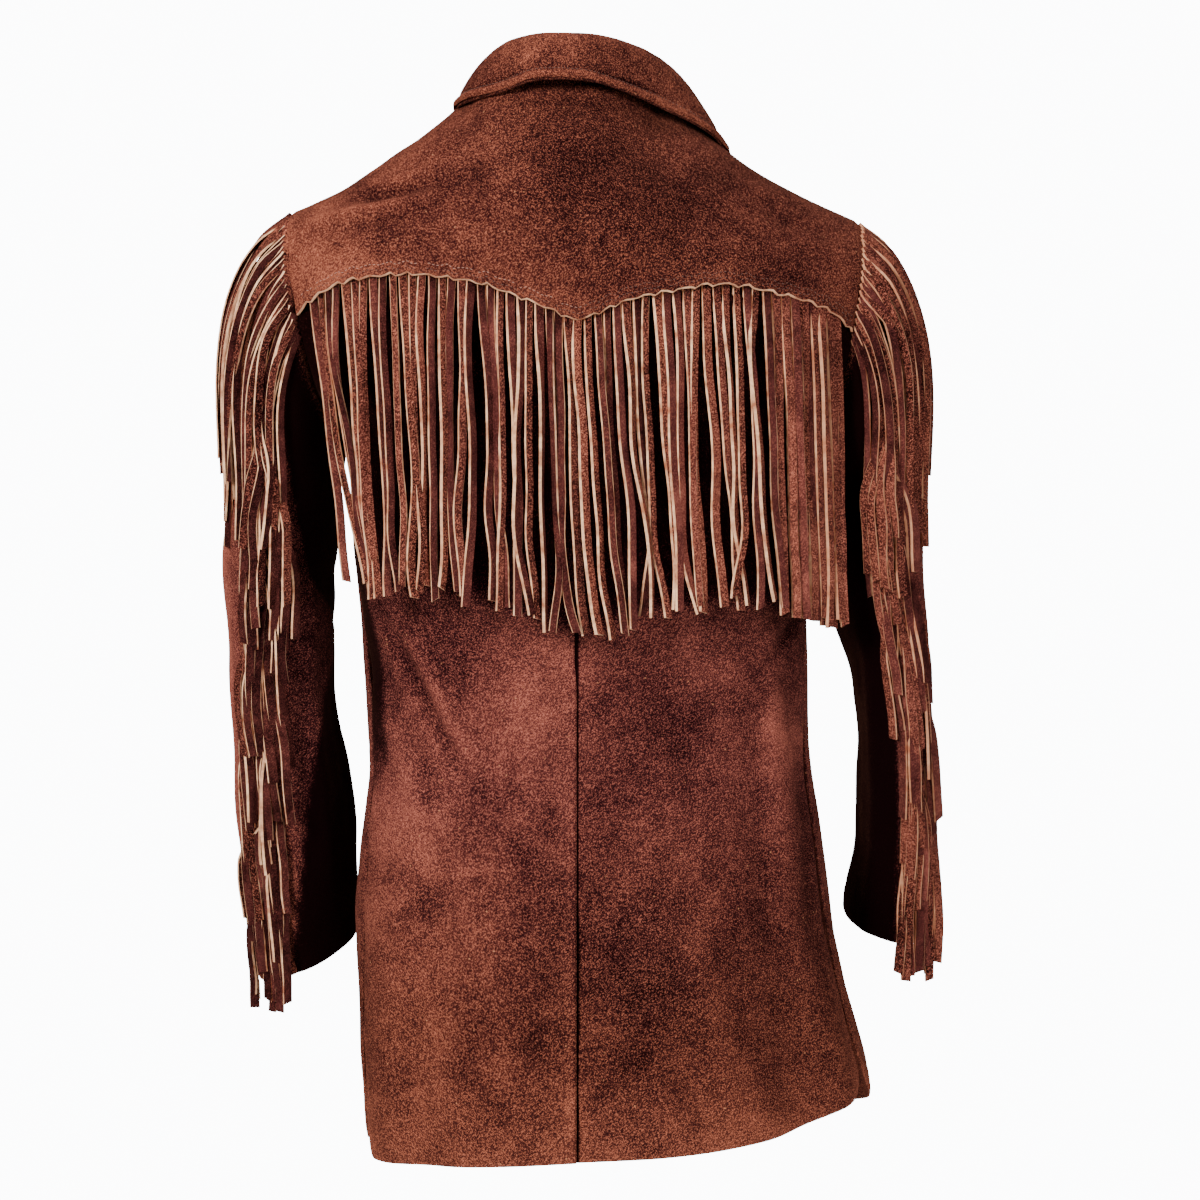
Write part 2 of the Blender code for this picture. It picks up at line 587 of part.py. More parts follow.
# ---------------------------------------------------------------- sleeves
def sleeve_panel(collection, side, name, start, end):
    """One piece of a sleeve between two of its seams."""
    falls = [row / SLEEVE_CAP_ROWS for row in range(SLEEVE_CAP_ROWS)]
    falls += [1.0 + row / SLEEVE_ROWS for row in range(SLEEVE_ROWS + 1)]
    half_gap = math.degrees((GAP / 2.0 + 0.00005) / SLEEVE_RADIUS)
    turns = np.linspace(start + half_gap, end - half_gap, SLEEVE_COLUMNS + 1)
    points, normals = [], []
    for fall in falls:
        row_points, row_normals = [], []
        for turn in turns:
            normal = sleeve_normal(side, turn, fall)
            if fall == 0.0:
                face, rise = armhole_place(turn)
                if rise > 1.04:
                    normal = seam_normal(normal, body_normal(side, face, 1.0, rise))
            row_points.append(sleeve(side, turn, fall))
            row_normals.append(normal)
        points.append(row_points)
        normals.append(row_normals)
    return thick(collection, f"{name}_{side}", points, normals, SUEDE)


# ---------------------------------------------------------------- collar
def body_tree():
    """The body's outside as one surface, to lay things on."""
    vertices, faces = [], []
    rises = [i / 8 for i in range(8)] + [1.0 + i / 24 for i in range(25)]
    places = [i / 24 for i in range(25)]
    for side in SIDES:
        for face in (BACK, FRONT):
            base = len(vertices)
            for rise in rises:
                for share in places:
                    vertices.append(Vector(body(side, face, share, rise)))
            for row in range(len(rises) - 1):
                for column in range(len(places) - 1):
                    corner = base + row * len(places) + column
                    quad = [corner, corner + 1, corner + 1 + len(places), corner + len(places)]
                    faces.append(quad if face * SIGN[side] < 0.0 else quad[::-1])
    return BVHTree.FromPolygons(vertices, faces)


def laid_on(tree, point, clear):
    """A point moved out, if it has to be, until it is clear of the body."""
    place, normal, _, _ = tree.find_nearest(Vector(point))
    height = (Vector(point) - place).dot(normal)
    return point if height >= clear else np.array(place + normal * clear)


def fold_point(side, turn):
    """The line that the collar folds over."""
    angle = math.radians(turn)
    reach = FOLD_BACK - FOLD_SIDE if turn <= 90.0 else FOLD_SIDE - FOLD_FRONT
    across = COLLAR_MIDDLE + SIGN[side] * FOLD_HALF_WIDTH * math.sin(angle)
    return np.array((across, FOLD_SIDE + reach * math.cos(angle), smooth(FOLD, "height", "turn", turn)))


def collar_turns():
    """Turns from the right front by the nape to the left front, twice as many as the body's columns."""
    step = 90.0 / NECK_COLUMNS / 2.0
    steps = [step * i for i in range(int(LEAF_END / step) + 1)] + [LEAF_END]
    return [("right", turn) for turn in steps[::-1]] + [("left", turn) for turn in steps[1:]]


def neck_edge(side, turn):
    """The neck seam as the body's columns have it, straight from one to the next."""
    step = 90.0 / NECK_COLUMNS
    before = step * min(int(turn / step), 2 * NECK_COLUMNS - 1)
    first, second = neck(side, before), neck(side, before + step)
    return first + (second - first) * (turn - before) / step


def away_from_neck(grid):
    away = grid - np.array((COLLAR_MIDDLE, 0.0, 0.0))
    away[:, :, 2] = 0.0
    return away


def collar_stand(collection):
    """The band from the neck seam up to the fold."""
    points = []
    turns = collar_turns()
    for row in range(4):
        part = row / 3.0
        line = []
        for side, turn in turns:
            foot = neck_edge(side, turn) + np.array((0.0, 0.0, STAND_GAP))
            top = fold_point(side, turn)
            line.append(foot + (top - foot) * part)
        points.append(line)
    return thick(collection, "collar_stand", points, sheet_normals(points, away_from_neck), SUEDE)


def leaf_edge(side, turn):
    table = LEAF[side]
    across, depth, height = (smooth(table, name, "turn", turn) for name in ("across", "depth", "height"))
    return np.array((SIGN[side] * across, depth, height))


def collar_fall(collection, tree):
    """The leaf, turned down over the stand and laid on the yoke and fronts."""
    inner = []
    turns = collar_turns()
    for row in range(LEAF_ROWS + 1):
        part = row / LEAF_ROWS
        line = []
        for side, turn in turns:
            start = fold_point(side, turn) + np.array((0.0, 0.0, LEAF_GAP))
            end = leaf_edge(side, turn)
            length = np.linalg.norm(end - start)
            outward = unit((end - start) * (1.0, 1.0, 0.0))
            over = unit(outward + np.array((0.0, 0.0, LEAF_UP))) * length * LEAF_FULLNESS
            down = unit(outward * LEAF_OUT + np.array((0.0, 0.0, -1.0))) * length * LEAF_FULLNESS
            point = hermite(start, end, over, down, part)
            if row:
                point = laid_on(tree, point, LEAF_CLEAR_BACK if turn < LEAF_BACK_TURN else LEAF_CLEAR)
            line.append(point)
        inner.append(line)
    normals = sheet_normals(inner, lambda grid: away_from_neck(grid) + np.array((0.0, 0.0, 0.05)))
    outer = [[p + n * WALL for p, n in zip(*pair)] for pair in zip(inner, normals)]
    return wall(collection, "collar_fall", outer, inner, SUEDE)


# ---------------------------------------------------------------- fringes
def back_fringe(collection, tree):
    """The space that the back fringe takes up, hanging straight from under the yoke's edge."""
    columns = [("right", share) for share in shares(FRINGE_SHARE)[::-1]]
    columns += [("left", share) for share in shares(FRINGE_SHARE)[1:]]
    roots = []
    for side, share in columns:
        rise = rise_at(side, BACK, share, yoke_height)
        roots.append((body(side, BACK, share, rise), body_normal(side, BACK, share, rise)))
    inner, outer = [], []
    for row in range(FRINGE_ROWS + 1):
        inner_line, outer_line = [], []
        for number, (root, normal) in enumerate(roots):
            level = unit(normal * (1.0, 1.0, 0.0))
            drop = FRINGE_TOP + FRINGE_LENGTH * row / FRINGE_ROWS
            point = root - np.array((0.0, 0.0, drop)) - level * (WALL - GAP)
            if row:
                point[:2] = inner[row - 1][number][:2]
                hit = tree.ray_cast(Vector((point[0], 0.5, point[2])), Vector((0.0, -1.0, 0.0)))[0]
                if hit is not None and hit[1] > 0.0:
                    point[1] = max(point[1], hit[1] + FRINGE_CLEAR)
            inner_line.append(point)
            outer_line.append(point + level * FRINGE_REACH)
        inner.append(inner_line)
        outer.append(outer_line)
    return wall(collection, "fringe_back", outer, inner, FRINGE_SUEDE)


def fall_at(side, turn, height):
    """The fall at which a line down the sleeve reaches a height."""
    low, high = 0.0, 2.0
    for _ in range(30):
        middle = (low + high) / 2.0
        if sleeve(side, turn, middle)[2] > height:
            low = middle
        else:
            high = middle
    return (low + high) / 2.0


def sleeve_trim(collection, name, side, turns, top_of, foot_of, clear, reach, rows):
    """The space of a fringe that lies on a sleeve, between two heights at each turn."""
    inner, outer = [], []
    for row in range(rows + 1):
        inner_line, outer_line = [], []
        for turn in turns:
            top, foot = top_of(turn), foot_of(turn)
            height = top + (foot - top) * row / rows
            fall = fall_at(side, turn, max(height, cuff_height(side, turn)))
            normal = sleeve_normal(side, turn, fall)
            point = sleeve(side, turn, fall)
            point[2] = min(point[2], height) if height < cuff_height(side, turn) else point[2]
            inner_line.append(point + normal * clear)
            outer_line.append(point + normal * (clear + reach))
        inner.append(inner_line)
        outer.append(outer_line)
    return wall(collection, f"{name}_{side}", outer, inner, FRINGE_SUEDE)


def armhole_fringe(collection, side):
    """From a little before the shoulder tip, round the back of the armhole."""
    def top(turn):
        return armhole(side, turn)[2] - ARM_FRINGE_TOP

    def foot(turn):
        return armhole(side, turn)[2] - ARM_FRINGE_LENGTH

    return sleeve_trim(collection, "fringe_armhole", side, np.linspace(*ARM_FRINGE_TURNS, 9), top, foot,
                       ARM_FRINGE_CLEAR, FRINGE_REACH, FRINGE_ROWS)


def sleeve_fringe(collection, side):
    """Down the sleeve's back seam, from under the armhole's fringe to past the cuff."""
    def top(turn):
        return armhole(side, min(turn, SLEEVE_FRINGE_TURNS[1]))[2] - ARM_FRINGE_LENGTH - SLEEVE_FRINGE_TOP

    def foot(turn):
        return CUFFS[side]["height"] - SLEEVE_FRINGE_DROP - SLEEVE_FRINGE_FOOT * math.sin(math.radians(turn))

    return sleeve_trim(collection, "fringe_sleeve", side, np.linspace(*SLEEVE_FRINGE_TURNS, 6), top, foot,
                       SLEEVE_FRINGE_CLEAR, SLEEVE_FRINGE_REACH, 8)


# ---------------------------------------------------------------- buttons
def button(collection, number, height, tree):
    """A plain turned button on the left front."""
    start = Vector((0.0, -0.5, height))
    place, normal, _, _ = tree.ray_cast(start, Vector((0.0, 1.0, 0.0)))
    normal = normal if normal.y < 0.0 else -normal
    profile = bmesh.new()
    made = [profile.verts.new(co) for co in (
        (0.0, 0.0, BUTTON_THICKNESS * 0.7),
        (BUTTON_RADIUS * 0.66, 0.0, BUTTON_THICKNESS * 0.7),
        (BUTTON_RADIUS * 0.86, 0.0, BUTTON_THICKNESS),
        (BUTTON_RADIUS, 0.0, BUTTON_THICKNESS * 0.6),
        (BUTTON_RADIUS * 0.92, 0.0, 0.0),
        (0.0, 0.0, 0.0))]
    for first, second in zip(made, made[1:]):
        profile.edges.new((first, second))
    mesh = bpy.data.meshes.new(f"button_{number}")
    profile.to_mesh(mesh)
    profile.free()
    mesh.materials.append(material(f"button_{number}", HORN))
    disc = bpy.data.objects.new(f"button_{number}", mesh)
    screw = disc.modifiers.new("turned", "SCREW")
    screw.steps = screw.render_steps = 16
    screw.use_merge_vertices = True
    screw.merge_threshold = 0.00005
    screw.use_smooth_shade = True
    disc.location = place + normal * (WALL + UNDER + BUTTON_CLEAR)
    disc.rotation_euler = normal.to_track_quat("Z", "Y").to_euler()
    collection.objects.link(disc)


def main():
    for item in list(bpy.data.objects):
        bpy.data.objects.remove(item, do_unlink=True)
    jacket = bpy.data.collections.new("suede_jacket")
    bpy.context.scene.collection.children.link(jacket)
    tree = body_tree()
    yoke_panel(jacket)
    for side in SIDES:
        back_panel(jacket, side)
        front_panel(jacket, side)
        sleeve_panel(jacket, side, "sleeve_top", FRONT_SEAM - 360.0, BACK_SEAM)
        sleeve_panel(jacket, side, "sleeve_under", BACK_SEAM, FRONT_SEAM)
        armhole_fringe(jacket, side)
        sleeve_fringe(jacket, side)
    collar_stand(jacket)
    collar_fall(jacket, tree)
    back_fringe(jacket, tree)
    for number, height in enumerate(BUTTON_HEIGHTS, start=1):
        button(jacket, number, height, tree)


main()
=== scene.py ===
"""The looks of a fringed suede jacket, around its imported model. Metres, +Z up, the wearer faces -Y.

Every panel is a shell of suede on the form that its solid has. The body has four quarters, a side and
a face of each: share 0 is the centre line and 1 the side seam or armhole, rise 0 is the hem, 1 the
level of the armpits and 2 the neck and shoulder seam. A sleeve's turn is 0 outside, 90 behind and 180
inside, and its fall is 0 at the armhole, 1 at the armpit and 2 at the cuff.
"""
import math
import random

import bmesh
import bpy
import numpy as np
from bpy.props import FloatProperty, FloatVectorProperty, IntProperty, PointerProperty
from mathutils import Matrix, Vector
from mathutils.bvhtree import BVHTree


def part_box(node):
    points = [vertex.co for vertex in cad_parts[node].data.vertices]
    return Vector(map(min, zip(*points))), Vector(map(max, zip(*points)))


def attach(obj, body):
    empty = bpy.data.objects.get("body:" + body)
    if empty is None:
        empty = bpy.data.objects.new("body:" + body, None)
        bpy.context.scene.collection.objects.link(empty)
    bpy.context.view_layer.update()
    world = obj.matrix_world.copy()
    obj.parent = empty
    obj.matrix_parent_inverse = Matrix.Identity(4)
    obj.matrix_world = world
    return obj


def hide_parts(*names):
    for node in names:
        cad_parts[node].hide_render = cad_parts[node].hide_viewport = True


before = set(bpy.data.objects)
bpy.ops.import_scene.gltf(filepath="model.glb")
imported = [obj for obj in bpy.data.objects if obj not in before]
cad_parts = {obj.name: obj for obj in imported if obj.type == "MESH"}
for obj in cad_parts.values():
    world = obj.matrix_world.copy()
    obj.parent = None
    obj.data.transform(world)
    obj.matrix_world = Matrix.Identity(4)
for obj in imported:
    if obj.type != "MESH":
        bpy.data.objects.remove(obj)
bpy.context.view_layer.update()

bl_info = {
    "name": "Fringed Suede Jacket",
    "version": (1, 0, 0),
    "blender": (4, 5, 0),
    "location": "View3D > Sidebar > Jacket",
    "description": "Makes the panels, collar, fringes, buttons and stitches of a suede jacket",
    "category": "Add Mesh",
}

# ---------------------------------------------------------------- the form, as the solids have it
WALL = 0.0018              # one hide
ARMPIT_HEIGHT = -0.285
VENT_HEIGHT = -0.745       # top of the side vents
VENT_RISE = 0.25
VENT_SPREAD = 0.004
UNDER = 0.0013             # between two pieces where one lies on the other
SECTION_POWER = 2.4
SIDES = ("left", "right")
SIGN = {"left": 1.0, "right": -1.0}
BACK, FRONT = 1.0, -1.0

WIDTHS = {
    "height": (-0.860, -0.800, -0.730, -0.650, -0.600, -0.530, -0.450, -0.400, -0.340, -0.285),
    "left":   (0.1720, 0.1745, 0.1780, 0.1787, 0.1755, 0.1705, 0.1745, 0.1790, 0.1840, 0.1870),
    "right":  (0.2430, 0.2365, 0.2200, 0.2050, 0.1965, 0.1877, 0.1877, 0.1880, 0.1890, 0.1900),
    "seam":   (0.0450, 0.0450, 0.0450, 0.0430, 0.0400, 0.0350, 0.0280, 0.0220, 0.0150, 0.0100),
}
BACK_LINE = {
    "height": (-0.860, -0.780, -0.700, -0.600, -0.500, -0.400, -0.285, -0.200, -0.130, -0.060, 0.000),
    "depth":  (0.1400, 0.1330, 0.1240, 0.1110, 0.1040, 0.1130, 0.1260, 0.1300, 0.1250, 0.1030, 0.0720),
}
FRONT_LINE = {
    "height": (-0.870, -0.780, -0.700, -0.600, -0.500, -0.400, -0.285, -0.200, -0.140, -0.085),
    "depth":  (0.1520, 0.1460, 0.1390, 0.1300, 0.1260, 0.1320, 0.1400, 0.1360, 0.1180, 0.0850),
}
HEM_SHARE = (0.00, 0.30, 0.60, 0.85, 1.00)
HEMS = {
    ("left", BACK):   (-0.8400, -0.8440, -0.8480, -0.8510, -0.8510),
    ("right", BACK):  (-0.8400, -0.8360, -0.8260, -0.8080, -0.7940),
    ("left", FRONT):  (-0.8520, -0.8510, -0.8500, -0.8480, -0.8440),
    ("right", FRONT): (-0.8520, -0.8450, -0.8320, -0.8150, -0.8000),
}
HEM_CORNERS = {
    ("left", BACK): (0.10, 0.034), ("right", BACK): (0.06, 0.012),
    ("left", FRONT): (0.20, 0.068), ("right", FRONT): (0.16, 0.030),
}
# long folds: side, face, share at the middle, half width in shares, how far out, height of the upper end
FOLDS = (
    ("right", BACK, 0.72, 0.10, -0.007, -0.42), ("right", BACK, 0.88, 0.08, 0.006, -0.42),
    ("left", BACK, 0.62, 0.12, -0.005, -0.48), ("right", FRONT, 0.55, 0.12, -0.006, -0.45),
    ("left", FRONT, 0.60, 0.12, -0.005, -0.45))
NECK_MIDDLE = 0.012
NECK_HALF_WIDTH = 0.072
NECK_BACK, NECK_FRONT, NECK_SIDE_DEPTH = 0.072, -0.085, 0.008
NECK = {
    "turn":   (0.0, 45.0, 90.0, 120.0, 150.0, 180.0),
    "height": (0.000, 0.002, 0.004, -0.020, -0.060, -0.085),
}
NECK_SHARE = 0.37
SHOULDER_SAG = 0.10
TIPS = {"left": (0.232, -0.094), "right": (0.228, -0.102)}
ARMHOLE_DEPTH = 0.010
ARMHOLE_REACH = {BACK: 0.066, FRONT: 0.062}
ACROSS_FRONT_CUT = 0.016
YOKE_EDGE = {
    "left": {"across": (0.000, 0.022, 0.045, 0.080, 0.133, 0.183, 0.205, 0.224),
             "height": (-0.193, -0.183, -0.174, -0.162, -0.155, -0.160, -0.170, -0.184)},
    "right": {"across": (0.000, 0.018, 0.039, 0.071, 0.115, 0.161, 0.198, 0.224),
              "height": (-0.193, -0.186, -0.177, -0.170, -0.164, -0.170, -0.181, -0.202)},
}
SLEEVE = {"height": (-0.720, -0.660, -0.600, -0.540, -0.470, -0.400, -0.330),
          "middle": (-0.0600, -0.0480, -0.0320, -0.0150, -0.0030, 0.0020, 0.0060),
          "depth":  (0.0460, 0.0490, 0.0530, 0.0570, 0.0620, 0.0680, 0.0700)}
SLEEVES = {
    "left":  {"inner": (0.1830, 0.1830, 0.1850, 0.1910, 0.2000, 0.1990, 0.1930),
              "outer": (0.2680, 0.2750, 0.2800, 0.2810, 0.2850, 0.2865, 0.2850), **SLEEVE},
    "right": {"inner": (0.2210, 0.2210, 0.2290, 0.2290, 0.2230, 0.2030, 0.1950),
              "outer": (0.3010, 0.3000, 0.2970, 0.2920, 0.2860, 0.2820, 0.2800), **SLEEVE},
}
SLEEVE_POWER = 2.2
SLEEVE_TOP = -0.330
CUFFS = {"left": dict(height=-0.699, outer=0.019, back=0.014),
         "right": dict(height=-0.676, outer=0.008, back=0.012)}
BACK_SEAM, FRONT_SEAM = 85.0, 280.0
FOLD = {
    "turn":   (0.0, 15.0, 45.0, 90.0, 135.0, 180.0),
    "height": (0.0390, 0.0387, 0.0355, 0.0240, -0.0200, -0.0520),
}
FOLD_HALF_WIDTH = 0.058
FOLD_BACK, FOLD_FRONT, FOLD_SIDE = 0.062, -0.078, 0.002
LEAF_END = 171.0
LEAF = {
    "left": {"turn":   (0.0, 15.0, 45.0, 90.0, 130.0, LEAF_END),
             "across": (0.0120, 0.0300, 0.0620, 0.0980, 0.0980, 0.0780),
             "depth":  (0.0880, 0.0860, 0.0660, 0.0120, -0.0700, -0.1250),
             "height": (0.0020, 0.0016, -0.0050, -0.0100, -0.0750, -0.1550)},
    "right": {"turn":   (0.0, 15.0, 45.0, 90.0, 130.0, LEAF_END),
              "across": (-0.0120, 0.0070, 0.0620, 0.1190, 0.1120, 0.0700),
              "depth":  (0.0880, 0.0860, 0.0610, 0.0060, -0.0720, -0.1280),
              "height": (0.0020, 0.0012, -0.0140, -0.0460, -0.1000, -0.1580)},
}


def smooth(table, column, key, value):
    """A value of a table's column at a key, on a smooth curve that never overshoots its rows."""
    xs = np.array(table[key], dtype=float)
    ys = np.array(table[column], dtype=float)
    step = np.diff(xs)
    slope = np.diff(ys) / step
    bend = np.zeros(len(xs))
    bend[0], bend[-1] = slope[0], slope[-1]
    for i in range(1, len(xs) - 1):
        if slope[i - 1] * slope[i] > 0.0:
            a = 2.0 * step[i] + step[i - 1]
            b = step[i] + 2.0 * step[i - 1]
            bend[i] = (a + b) / (a / slope[i - 1] + b / slope[i])
    value = min(max(value, xs[0]), xs[-1])
    i = min(int(np.searchsorted(xs, value, side="right")) - 1, len(step) - 1)
    u = (value - xs[i]) / step[i]
    return hermite(ys[i], ys[i + 1], bend[i] * step[i], bend[i + 1] * step[i], u)


def hermite(start, end, start_slope, end_slope, u):
    """The cubic between two points with the given slopes."""
    return ((2 * u**3 - 3 * u**2 + 1) * start + (u**3 - 2 * u**2 + u) * start_slope
            + (3 * u**2 - 2 * u**3) * end + (u**3 - u**2) * end_slope)


def ease(u):
    """0 to 1 with flat ends, of a number or an array."""
    u = np.clip(u, 0.0, 1.0)
    return u * u * (3.0 - 2.0 * u)


def unit(vectors):
    return vectors / np.maximum(np.linalg.norm(vectors, axis=-1, keepdims=True), 1e-12)


def travelled(points):
    """How far along a line each of its points is."""
    steps = np.linalg.norm(np.diff(points, axis=0), axis=1)
    return np.concatenate(([0.0], np.cumsum(steps)))


def along(points, share):
    """The points at shares of a line's length."""
    lengths = travelled(points)
    place = np.asarray(share) * lengths[-1]
    return np.stack([np.interp(place, lengths, points[:, axis]) for axis in range(3)], axis=-1)


def section(side, face, height, share):
    """A point of one level section, from the centre line round to the side seam."""
    width = smooth(WIDTHS, side, "height", height)
    seam = smooth(WIDTHS, "seam", "height", height)
    back = smooth(BACK_LINE, "depth", "height", height)
    front = smooth(FRONT_LINE, "depth", "height", height)
    power = 2.0 / SECTION_POWER
    seam_turn = math.acos((seam / back) ** (1.0 / power))
    turns = np.linspace(0.0, 1.0, 40)
    if face == BACK:
        angle = turns * seam_turn
        across, depth = width * np.sin(angle) ** power, back * np.cos(angle) ** power
    else:
        angle = turns * math.pi / 2
        past = np.linspace(math.pi / 2, seam_turn, 10)[1:]
        across = np.concatenate((width * np.sin(angle) ** power, width * np.sin(past) ** power))
        depth = np.concatenate((-front * np.abs(np.cos(angle)) ** power, back * np.cos(past) ** power))
    points = np.stack((SIGN[side] * across, depth, np.full(len(across), height)), axis=1)
    point = along(points, share)
    for on_side, on_face, middle, half_width, out, top in FOLDS:
        if (on_side, on_face) == (side, face) and height < top:
            bump = math.exp(-((share - middle) / half_width) ** 2) * (1.0 - share**8)
            grown = ease((top - height) / (top + 0.80))
            point = point + unit(point * (1.0, 1.0, 0.0)) * out * bump * grown
    return point


def hem(side, face, share):
    """Height of the hem, with its corner rounded at the vent."""
    height = smooth({"share": HEM_SHARE, "hem": HEMS[side, face]}, "hem", "share", share)
    part, rise = HEM_CORNERS[side, face]
    round_off = max(0.0, (share - (1.0 - part)) / part)
    return height + rise * (1.0 - math.sqrt(max(0.0, 1.0 - round_off**2)))


def armhole(side, turn):
    """The armhole: turn 0 at the shoulder tip, 90 at the back, 180 at the armpit, 270 in front."""
    angle = math.radians(turn)
    tip_across, tip_height = TIPS[side]
    pit_across = smooth(WIDTHS, side, "height", ARMPIT_HEIGHT)
    drop = (1.0 - math.cos(angle)) / 2.0
    face = BACK if math.sin(angle) >= 0.0 else FRONT
    across = pit_across + (tip_across - pit_across) * (1.0 - drop**2)
    if face == FRONT:
        across -= ACROSS_FRONT_CUT * math.sin(angle) ** 2
    depth = ARMHOLE_DEPTH + ARMHOLE_REACH[face] * math.sin(angle)
    return np.array((SIGN[side] * across, depth, tip_height + (ARMPIT_HEIGHT - tip_height) * drop))


def neck(side, turn):
    """The neck seam: turn 0 at the nape, 90 at the side, 180 in front."""
    angle = math.radians(turn)
    reach = NECK_BACK - NECK_SIDE_DEPTH if turn <= 90.0 else NECK_SIDE_DEPTH - NECK_FRONT
    return np.array((NECK_MIDDLE + SIGN[side] * NECK_HALF_WIDTH * math.sin(angle),
                     NECK_SIDE_DEPTH + reach * math.cos(angle),
                     smooth(NECK, "height", "turn", turn)))


def top_edge(side, face, share):
    """The top of a quarter: its part of the neck, then the shoulder seam out to the tip."""
    if share < NECK_SHARE:
        turn = 90.0 * share / NECK_SHARE
        return neck(side, turn if face == BACK else 180.0 - turn)
    out = (share - NECK_SHARE) / (1.0 - NECK_SHARE)
    start, end = neck(side, 90.0), armhole(side, 0.0)
    point = start + (end - start) * out
    point[2] = start[2] + (end[2] - start[2]) * (out + SHOULDER_SAG * math.sin(math.pi * out))
    return point


def upper_row(side, face, climb, share):
    """A row above the armpits, one curve from the centre line to the armhole."""
    table, top = (BACK_LINE, 0.0) if face == BACK else (FRONT_LINE, NECK["height"][-1])
    height = ARMPIT_HEIGHT + (top - ARMPIT_HEIGHT) * climb
    start = np.array((NECK_MIDDLE * ease(climb), face * smooth(table, "depth", "height", height), height))
    end = armhole(side, 180.0 * (1.0 - climb) if face == BACK else 180.0 * (1.0 + climb))
    turn = math.radians(90.0 * (1.0 - climb) ** 1.2)
    leave = unit(np.array((SIGN[side] * math.cos(turn), -face * math.sin(turn), -0.4 * climb)))
    fullness = 1.0 if turn < 1e-6 else 2.0 * math.tan(turn / 4.0) / math.sin(turn / 2.0)
    length = np.linalg.norm(end - start) * fullness
    return hermite(start, end, np.array((SIGN[side] * length, 0.0, 0.0)), leave * length, share)


def upper(side, face, climb, share):
    """The body above the armpits: rows that start as the armpit section and end as the top edge."""
    point = upper_row(side, face, climb, share)
    at_pit = section(side, face, ARMPIT_HEIGHT, share) - upper_row(side, face, 0.0, share)
    at_top = top_edge(side, face, share) - upper_row(side, face, 1.0, share)
    point = point + (1.0 - ease(climb)) * at_pit + climb**4 * at_top
    # over the shoulder seam the cloth runs level, front to back
    small = 0.01
    slope = (upper_row(side, face, 1.0, share) - upper_row(side, face, 1.0 - small, share)) / small
    slope = slope + 4.0 * at_top
    level = np.array((0.0, -face * 0.27, 0.03))
    weight = ease((share - 0.20) / 0.45) * ease((1.0 - share) / 0.25)
    return point + (climb**3 - climb**2) * weight * (level - slope)


def body(side, face, share, rise):
    """A point of the body's outside; a share below 0 is on the other side of the centre line."""
    if share < 0.0:
        side, share = ("right" if side == "left" else "left"), -share
    if rise < VENT_RISE:
        low = hem(side, face, share)
        return section(side, face, low + (VENT_HEIGHT - low) * rise / VENT_RISE, share)
    if rise <= 1.0:
        part = (rise - VENT_RISE) / (1.0 - VENT_RISE)
        return section(side, face, VENT_HEIGHT + (ARMPIT_HEIGHT - VENT_HEIGHT) * part, share)
    return upper(side, face, rise - 1.0, share)


def yoke_height(across):
    """Height of the yoke's lower edge."""
    return smooth(YOKE_EDGE["left" if across >= 0.0 else "right"], "height", "across", abs(across))


def yoke_rise(side, share):
    """The rise at which a column of the back reaches the yoke's lower edge."""
    low, high = 1.0, 2.0
    for _ in range(22):
        middle = (low + high) / 2.0
        point = body(side, BACK, share, middle)
        low, high = (middle, high) if point[2] < yoke_height(point[0]) else (low, middle)
    return (low + high) / 2.0


def cuff_height(side, turn):
    angle, cuff = math.radians(turn), CUFFS[side]
    return cuff["height"] - cuff["outer"] * math.cos(angle) - cuff["back"] * math.sin(angle)


def sleeve_section(side, turn, height):
    table, angle = SLEEVES[side], math.radians(turn)
    inner, outer = (smooth(table, name, "height", height) for name in ("inner", "outer"))
    power = 2.0 / SLEEVE_POWER
    cosine, sine = math.cos(angle), math.sin(angle)
    across = (inner + outer) / 2 + (outer - inner) / 2 * math.copysign(abs(cosine) ** power, cosine)
    depth = smooth(table, "middle", "height", height)
    depth += smooth(table, "depth", "height", height) * math.copysign(abs(sine) ** power, sine)
    return np.array((SIGN[side] * across, depth, height))


def sleeve(side, turn, fall):
    """A point of a sleeve's outside."""
    if fall >= 1.0:
        return sleeve_section(side, turn, SLEEVE_TOP + (cuff_height(side, turn) - SLEEVE_TOP) * (fall - 1.0))
    angle = math.radians(turn)
    leave = unit(np.array((SIGN[side] * (0.425 + 0.325 * math.cos(angle)), 0.25 * math.sin(angle),
                           -0.83 + 0.17 * math.cos(angle))))
    clear = np.array((SIGN[side] * 0.0010 * (1.0 - math.cos(angle)) / 2.0, 0.0, 0.0))
    start = armhole(side, turn) + leave * 0.0005 + clear
    end = sleeve_section(side, turn, SLEEVE_TOP)
    length = np.linalg.norm(end - start)
    return hermite(start, end, leave * length * 1.2, np.array((0.0, 0.0, -length)), fall)


def fold_point(side, turn):
    """The line that the collar folds over."""
    angle = math.radians(turn)
    reach = FOLD_BACK - FOLD_SIDE if turn <= 90.0 else FOLD_SIDE - FOLD_FRONT
    across = 0.010 + SIGN[side] * FOLD_HALF_WIDTH * math.sin(angle)
    return np.array((across, FOLD_SIDE + reach * math.cos(angle), smooth(FOLD, "height", "turn", turn)))


def leaf_edge(side, turn):
    """The collar leaf's lower edge."""
    table = LEAF[side]
    across, depth, height = (smooth(table, name, "turn", turn) for name in ("across", "depth", "height"))
    return np.array((SIGN[side] * across, depth, height))


# ---------------------------------------------------------------- sheets of points
HIDE = WALL - 0.0002       # thickness of a panel
SPACING = 0.0048           # between a panel's points
EDGE_LINES = (0.0012, 0.0026, 0.0042)   # further rows of points beside each edge


